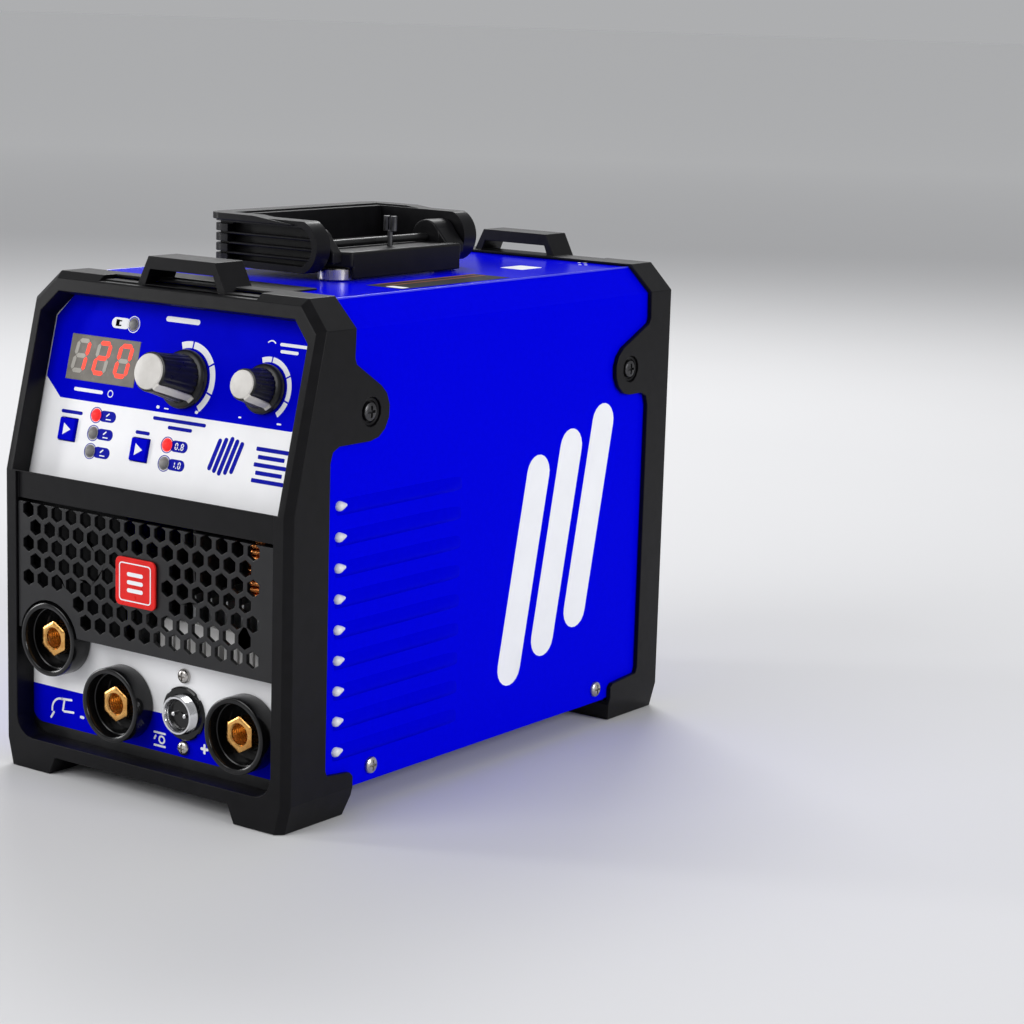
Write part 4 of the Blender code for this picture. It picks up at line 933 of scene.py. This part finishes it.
def case():
    darkened(refined("case_cover", BLUE, 0.3))
    darkened(refined("base_pan", BLUE, 0.2))
    heights = [130.0 - 12.8 * i for i in range(9)]
    rear = Vector(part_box("case_cover")[1]).y / MM + ORIGIN_DEPTH
    # Thin rods of paler blue along the top folds: a painted highlight on the rounded fold edges.
    edges = [rod(0.5, "Y", (side * 67.1, 0, 212.3), 38.0, rear - 1, 16) for side in (-1, 1)]
    piece("fold_edges", merged(edges), FOLD_HIGHLIGHT_BLUE)
    # The louvres are a shade darker than the case: painted shade.
    piece("side_louvres", merged([louvre(z) for z in heights]), SHADED_LOUVRE_BLUE, smooth=60)
    # White teardrops of painted highlight on the louvres' front ends.
    piece("louvre_highlights", merged([louvre_highlight(z + 0.6) for z in heights]), LOUVRE_HIGHLIGHT, smooth=60)
    stripes = [bar(162 + 25 * i, 84 + 9 * i, 104, 17, 78) for i in range(3)]
    piece("side_stripes", prisms(stripes, "X", COVER_X - SUNK, COVER_X + 0.08), INK_WHITE)
    top_print("top_strip", [[(42, 92), (62, 92), (62, 168), (42, 168)]], INK_DARK)
    lines = [rounded(x, 132, 1.3, 70, 0.5) for x in (43.6, 49.0)]
    top_print("top_strip_lines", lines, INK_ORANGE, 0.12)
    top_print("top_strip_end", [rounded(56.0, 96.0, 9.0, 5.0, 0.8)], INK_WHITE, 0.12)
    top_print("top_label", [rounded(38, 209.5, 12.5, 16.5, 1.2)], INK_WHITE)
    spots = ((47.0, 244.0), (49.2, 245.6), (41.4, 251.6), (43.6, 253.2))
    dots = [arc(spot, 0.8, 0, 345, 23) for spot in spots]
    top_print("top_dots", dots, INK_WHITE, 0.1)


PIVOT = (13.0, 227.0)  # the handle's hinge, x and z
BAIL_X, BAIL_Y = -36.0, (80.0, 192.0)  # the grip's outer side and the arms' outer sides


def bail_plan(outset, corner, end):
    left, front, rear = BAIL_X - outset, BAIL_Y[0] - outset, BAIL_Y[1] + outset
    plan = [(end, front), (end, rear)]
    plan += arc((left + corner, rear - corner), corner, 90, 180, 6)
    plan += arc((left + corner, front + corner), corner, 180, 270, 6)
    return plan


def arm_face(grow, left):
    """The side view of an arm with its round end."""
    radius = 12.0 + grow
    outline = [(left, PIVOT[1] - 11 - grow), (left, PIVOT[1] + 11 + grow)]
    return outline + arc(PIVOT, radius, 66, -66, 18)


def bail():
    """The carrying handle: a U-shaped grip with ribbed arms and a rim along its top."""
    low, high = 200, 250
    item = look("handle", prism(arm_face(0, BAIL_X - 5), "Y", 75, 197), BEZEL)
    carve(item, prism(bail_plan(0, 7.0, 40), "Z", low, high), "INTERSECT")
    carve(item, prism([(-24, 89), (60, 89), (60, 183), (-24, 183)], "Z", low, high))
    for y in ((70, 85.6), (186.4, 202)):
        carve(item, prism(arm_face(-3.0, -25.5), "Y", *y))
    front = [(-25, 76), (-25, 83.4), (-32.6, 83.4), (-32.6, 92), (-40, 92), (-40, 76)]
    rear = [(x, sum(BAIL_Y) - y) for x, y in front]
    for z in (217.4, 221.75, 226.05, 230.35, 234.6):
        for groove in (front, rear):
            carve(item, prism(groove, "Z", z - 0.55, z + 0.55))
    add_bevel(item, 0.6, 3)
    ribs = []
    for z in (221.75, 226.05, 230.35):
        reach = PIVOT[0] + math.sqrt(9.2**2 - (z - PIVOT[1]) ** 2)
        for y in ((81.0, 86.0), (186.0, 191.0)):
            ribs.append(block((-25.8, reach), y, (z - 0.55, z + 0.55)))
    piece("handle_ribs", merged(ribs), BEZEL, "handle", bevel=0.35)
    plate = prism(bail_plan(1.3, 8.0, 12), "Z", 236.0, 238.8)
    rim = piece("handle_rim", plate, BEZEL, "handle", bevel=1.0, segments=3)
    carve(rim, prism([(-28, 87), (60, 87), (60, 185), (-28, 185)], "Z", low, high))
    carve(rim, prism([(-16, 239.4), (13, 236.3), (13, 245), (-16, 245)], "Y", 60, 210))


def bracket():
    """The slab that the handle turns on, with its skirt and the two barrels."""
    x, z = PIVOT
    plan = [(-20, 90), (15, 90), (29.2, 98.5), (29.2, 175), (20, 182), (-20, 182)]
    look("handle_bracket", prism(plan, "Z", 217.9, 225.0), BEZEL, bevel=1.2, segments=3)
    piece("bracket_skirt", block((27.8, 29.2), (99.5, 174.5), (213.4, 219.5)), BEZEL, bevel=0.5)
    foot = [(x - 7.4, 220), (x - 7.4, 228.5), (x + 4.9, 232.9), (x + 12.5, 224.5), (x + 12.5, 220)]
    shapes = []
    for low, high in ((89.7, 96.7), (169.5, 182.3)):
        shapes.append(rod(7.7, "Y", (x, 0, z), low, high, 56))
        shapes.append(prism(foot, "Y", low + 0.4, high - 0.4))
    for index, shape in enumerate(shapes):
        piece(f"bracket_barrel_{index}", shape, BEZEL, bevel=0.7, segments=3)
    post = [rod(1.2, "Z", (19.5, 136, 0), 224, 232, 20)]
    post += [rod(1.5, "Z", (px, 136, 0), 231.5, 238.2, 20) for px in (17.6, 21.4)]
    piece("bracket_post", merged(post), DARK_STEEL, bevel=0.3)


def handle():
    bail()
    bracket()
    look("handle_rod", rod(1.7, "Y", (PIVOT[0], 0, PIVOT[1]), 86.5, 185.5, 32), SATIN)
    for place, y, radius in (("front", 98.0, 7.5), ("rear", 174.0, 6.0)):
        spacer = [(0, 212.8), (radius - 0.5, 212.8), (radius, 213.2), (radius, 217.4)]
        spacer += [(radius - 0.4, 217.8), (0, 217.8)]
        look(place + "_spacer", turned(spacer, "Z", (20.0, y, 0), 64), STEEL)


# -------------------- fasteners


def pan_head(axis, centre, seat, outward, radius, height):
    """A pan-head screw, still without its cross recess."""
    shank = [(0, -4.0), (1.5, -4.0), (1.5, 0)]
    dome = [(1, 0), (1, 0.3), (0.93, 0.62), (0.75, 0.86), (0.45, 1), (0, 1)]
    head = shank + [(radius * r, height * up) for r, up in dome]
    return turned([(r, seat + outward * up) for r, up in head], axis, centre, 40)


def screw(node, axis, centre, seat, outward, radius, height):
    mat = DARK_STEEL if "lug" in node else STEEL
    head = pan_head(axis, centre, seat, outward, radius, height)
    item = look(node, head, mat, smooth=40)
    recess = sorted((seat + outward * (height + 0.3), seat + outward * (height - 1.1)))
    wing, web = radius * 0.62, radius * 0.14
    x, y, z = centre
    for a, b in ((wing, web), (web, wing)):
        if axis == "X":
            carve(item, block(recess, (y - a, y + a), (z - b, z + b)))
        else:
            carve(item, block((x - a, x + a), recess, (z - b, z + b)))


def screws():
    for word, side in (("left", -1), ("right", 1)):
        for place, y in zip(("front", "rear"), LUG_Y):
            spot = (0, y, LUG_Z)
            screw(f"{place}_{word}_lug_screw", "X", spot, side * 79.7, side, 4.0, 1.5)
        for place, y in (("front", 56.0), ("rear", 222.0)):
            spot = (0, y, 17.8)
            screw(f"{place}_{word}_cover_screw", "X", spot, side * 78.6, side, 3.6, 1.9)
    for word, z in (("upper", 53.7), ("lower", 22.8)):
        screw(f"{word}_panel_screw", "Y", (16.3, 0, z), SOCKET_FACE - 0.1, -1, 3.1, 1.9)


# -------------------- inside, behind the grille


def inside():
    refined("divider_panel", ZINC, 0.2)
    refined("heat_sink", ALUMINIUM, 0.25)
    refined("main_board", BOARD, 0.2)
    can = [(0, 33.0), (11.3, 33.0), (11.3, 61.5), (10.6, 62.6), (9.0, 63.0), (0, 63.0)]
    sleeves = [turned(can, "Z", (x, 175.0, 0), 40) for x in (18.0, 42.0)]
    piece("capacitor_sleeves", merged(sleeves), SLEEVE)
    coils = []
    turns = [2 * math.pi * i / 20 for i in range(20)]
    for a in turns:
        middle = Vector((54 + 11.0 * math.cos(a), 43.0, 104 + 11.0 * math.sin(a)))
        out, along = Vector((math.cos(a), 0, math.sin(a))), Vector((0, 1, 0))
        loop = [middle + out * (5.2 * math.cos(b)) + along * (10.4 * math.sin(b)) for b in turns]
        coils.append(sweep(loop, 1.05, 8, True))
    coil = merged(coils)
    piece("inductor_winding", coil, COPPER, smooth=60, stands_for="output_inductor")


# -------------------- rear wall


def rear_wall():
    refined("rear_panel", BLUE, 0.2)
    refined("fan_frame", SATIN, 0.5)
    fan()
    fan_guard()
    refined("power_switch", SATIN, 0.5, 3)
    refined("power_rocker", RED, 0.5, 3)
    guard_screws()
    rating_plate()
    gland()


def fan_guard():
    x, z = FAN
    rings = []
    for radius in (38.0, 31.5, 25.0, 18.5, 12.0):
        path = [(px, 264.2, pz) for px, pz in circle(x, z, radius, 48)]
        rings.append(sweep(path, 0.85, 8, True))
    for turn in (45, 135, 225, 315):
        c, s = math.cos(math.radians(turn)), math.sin(math.radians(turn))
        spoke = [(x + r * c, 265.0, z + r * s) for r in (11.0, 20.0, 30.0, 38.5)]
        rings.append(sweep(spoke, 0.85, 8))
    look("fan_guard", merged(rings), CHROME, smooth=60)


def guard_screws():
    x, z = FAN
    spots = [(x + side, 0, z + up) for side in (-28.6, 28.6) for up in (-28.6, 28.6)]
    heads = [pan_head("Y", spot, REAR_FACE + 1.0, 1, 2.7, 1.5) for spot in spots]
    piece("guard_screws", merged(heads), STEEL, smooth=40)


def gland():
    """The mains cable's gland: a hexagonal base and a ribbed cap."""
    profile = [(5.0, 249.5), (6.0, 249.5), (6.0, 263.2), (10.5, 263.2), (10.5, 268.0), (9.6, 268.6)]
    profile += [(9.6, 269.4), (9.6, 281.0), (8.4, 283.6), (7.0, 285.6), (5.6, 286.0), (5.0, 285.6)]

    def ribbed(radius, along, angle):
        if along < 268.5 and radius > 10:
            return min(hex_reach(9.3, angle), 10.5)
        if 268.6 < along < 281.5 and radius > 9:
            return radius - 0.45 * flute(16, angle) ** 2
        return radius

    shape = turned(profile, "Y", (GLAND[0], 0, GLAND[1]), 120, ribbed)
    look("cable_gland", shape, SATIN, smooth=35)


def rating_plate():
    """A plain plate with blank bars in place of the data."""
    x, z = RATING
    face = REAR_FACE
    plate = prism(rounded(x, z, 38, 46, 2.0), "Y", face - 0.1, face + 0.5)
    piece("rating_plate", plate, ALUMINIUM, bevel=0.12)
    bars = []
    for i in range(7):
        odd = i % 2
        bars.append(bar(x - 1.0 + 2.0 * odd, z + 17 - 5.6 * i, 22.0 + 4.0 * odd, 1.6))
    piece("rating_bars", prisms(bars, "Y", face + 0.45, face + 0.56), INK_DARK)
    dome = [(0, face), (1.2, face), (1.2, face + 0.7), (0.7, face + 1.1), (0, face + 1.2)]
    rivets = [turned(dome, "Y", (x + side, 0, z), 24) for side in (-16.2, 16.2)]
    piece("rating_rivets", merged(rivets), STEEL, smooth=50)


def border(sheet):
    """The points round the edge of a sheet of rows."""
    right = [row[-1] for row in sheet[1:]]
    left = [row[0] for row in sheet[-2:0:-1]]
    return sheet[0] + right + sheet[-1][-2::-1] + left


def fan_blade(start, low, high, root=12.5, tip=34.2):
    """One twisted blade that begins at the angle start."""
    x, z = FAN
    outward, across = 8, 6
    bm = bmesh.new()
    sheets = ([], [])
    for sheet, offset in zip(sheets, (-0.45, 0.45)):
        for k in range(outward + 1):
            share = k / outward
            r = root + (tip - root) * k / outward
            row = []
            for m in range(across + 1):
                t = m / across - 0.5
                a = start + t * (0.78 + 0.1 * k / outward) + 0.10 * share**2
                depth = (low + high) / 2 + t * 15.5 + 1.6 * math.cos(math.pi * t)
                place = (x + r * math.cos(a), depth + offset, z + r * math.sin(a))
                row.append(bm.verts.new(place))
            sheet.append(row)
    for sheet in sheets:
        bridge(bm, sheet, ring=False)
    bridge(bm, [border(sheet) for sheet in sheets])
    return finished(bm)


def fan():
    low, high = 237.3, 258.0
    hub = [(0, low), (12.0, low), (13.5, low + 1.4), (13.5, high - 0.6), (12.9, high)]
    hub += [(4.0, high), (3.4, high - 0.7), (0, high - 0.7)]
    look("fan_rotor", turned(hub, "Y", (FAN[0], 0, FAN[1]), 64), SATIN, smooth=35)
    blades = [fan_blade(2 * math.pi * i / 7, low, high) for i in range(7)]
    piece("fan_blades", merged(blades), SATIN, "fan_rotor", smooth=50)


# -------------------- wire compartment


def wire_side():
    refined("spool_door", BLUE, 0.3)
    refined("door_latch", SATIN, 0.5, 3)
    refined("feed_plate", ALUMINIUM, 0.5)
    refined("feed_motor", ZINC, 0.6)
    refined("drive_roller", STEEL, 0.25)
    refined("pressure_roller", STEEL, 0.25)
    refined("pressure_arm", ZINC, 0.5)
    refined("spool_axle", SATIN, 0.5)
    tension_knob()
    spool()


def tension_knob():
    x, y, z = -54.5, 46.0, 79.6

    def gripped(radius, along, angle):
        return radius - (0.5 * flute(12, angle) if radius > 6 else 0)

    grip = [(0, z - 6), (2.0, z - 6), (2.0, z), (6.3, z), (6.5, z + 0.4), (6.5, z + 9.0)]
    grip += [(5.6, z + 11.6), (0, z + 12)]
    look("tension_knob", turned(grip, "Z", (x, y, 0), 96, gripped), SATIN, smooth=40)


def spool():
    """Two flanges, a core and the wound wire, which stands for the CAD's spool."""
    y, z = SPOOL
    centre = (0, y, z)
    low, high = -62.0, -17.0
    for name, (a, b) in (("near", (low, low + 3)), ("far", (high - 3, high))):
        rim = [(7.9, a), (49.4, a), (50.0, a + 0.6), (50.0, b - 0.6), (49.4, b), (7.9, b)]
        disc = turned(rim, "X", centre, 96)
        flange = piece("spool_flange_" + name, disc, SATIN, "wire_spool", smooth=35)
        if name == "near":
            for i in range(6):
                t = math.radians(60 * i + 30)
                spot = (0, y + 30 * math.cos(t), z + 30 * math.sin(t))
                carve(flange, rod(6.5, "X", spot, a - 2, b + 2, 32))
    core = [(7.9, low + 1), (12.5, low + 1), (12.5, high - 1), (7.9, high - 1)]
    piece("spool_core", turned(core, "X", centre, 64), SATIN, "wire_spool")
    turns = 34
    pitch = (high - low - 6.4) / turns
    wound = [(13.0, low + 3.1)]
    for i in range(turns):
        at = low + 3.2 + pitch * i
        wave = ((42.0, 0), (42.75, 0.25), (43.0, 0.5), (42.75, 0.75))
        wound += [(radius, at + pitch * share) for radius, share in wave]
    wound += [(42.0, high - 3.2), (13.0, high - 3.1)]
    coil = turned(wound, "X", centre, 120)
    piece("wound_wire", coil, COPPER, "wire_spool", smooth=50, stands_for="wire_spool")


control_face()
lower_front()
bezels()
case()
handle()
screws()
inside()
rear_wall()
wire_side()


# -------------------- stage


def stage():
    """A wide pale floor painted darker near the case and lighter with distance, painted light and
    shade so that no horizon shows.
    """
    floor = bpy.data.meshes.new("floor")
    size = 60.0
    corners = [(-size, -size, 0), (size, -size, 0), (size, size, 0), (-size, size, 0)]
    floor.from_pydata(corners, [], [(0, 1, 2, 3)])
    item = placed("floor", floor)
    item.location.z = -0.0002
    near, far = (0.62, 0.62, 0.63), (0.97, 0.97, 0.97)
    mat = new_material("floor_pale", near, 0.8, 0.0, 0.1)
    vary_roughness(mat, 0.7, 0.9, 6)
    place = add(mat, "ShaderNodeTexCoord")
    reach = add(mat, "ShaderNodeVectorMath", operation="LENGTH")
    share = add(mat, "ShaderNodeMapRange", From_Min=0.9, From_Max=5.0)
    tone = ramp(mat, share, "Result", [(0.0, near), (1.0, far)])
    link(mat, place, "Object", reach, "Vector")
    link(mat, reach, "Value", share, "Value")
    link(mat, tone, "Color", shader_of(mat), "Base Color")
    floor.materials.append(mat)


def area_light(name, place, width, height, watts):
    light = bpy.data.lights.new(name, "AREA")
    light.shape = "RECTANGLE"
    light.size, light.size_y = width, height
    light.energy = watts
    item = placed(name, light)
    item.location = place
    aim = Vector((0, 0, 0.11)) - Vector(place)
    item.rotation_euler = aim.to_track_quat("-Z", "Y").to_euler()


def lights():
    world = bpy.data.worlds.new("studio")
    bpy.context.scene.world = world
    world.use_nodes = True
    background = world.node_tree.nodes["Background"]
    background.inputs["Color"].default_value = (0.93, 0.94, 0.96, 1)
    background.inputs["Strength"].default_value = 0.45
    area_light("key", (-0.4, -1.5, 1.1), 1.0, 1.0, 14)
    area_light("side", (2.3, 0.0, 0.95), 1.0, 1.0, 32)
    area_light("top", (-0.8, 1.05, 1.35), 0.9, 0.6, 20)
    area_light("left", (-1.5, -0.9, 0.5), 0.25, 0.9, 10)


def camera():
    """Stands at the photo's angle: turned about the case, raised a little and slightly rolled."""
    data = bpy.data.cameras.new("camera")
    data.sensor_width = 36.0
    data.lens = 90.7
    item = placed("camera", data)
    azimuth, elevation, roll = (math.radians(a) for a in (35.765, 10.885, 1.730))
    place = Matrix.Translation((0.72924, -0.75151 - ORIGIN_DEPTH * MM, 0.32589))
    turn = Matrix.Rotation(azimuth, 4, "Z")
    tilt = Matrix.Rotation(math.radians(90) - elevation, 4, "X")
    item.matrix_world = place @ turn @ tilt @ Matrix.Rotation(roll, 4, "Z")
    bpy.context.scene.camera = item


stage()
lights()
camera()
bpy.context.scene.view_settings.view_transform = "Standard"
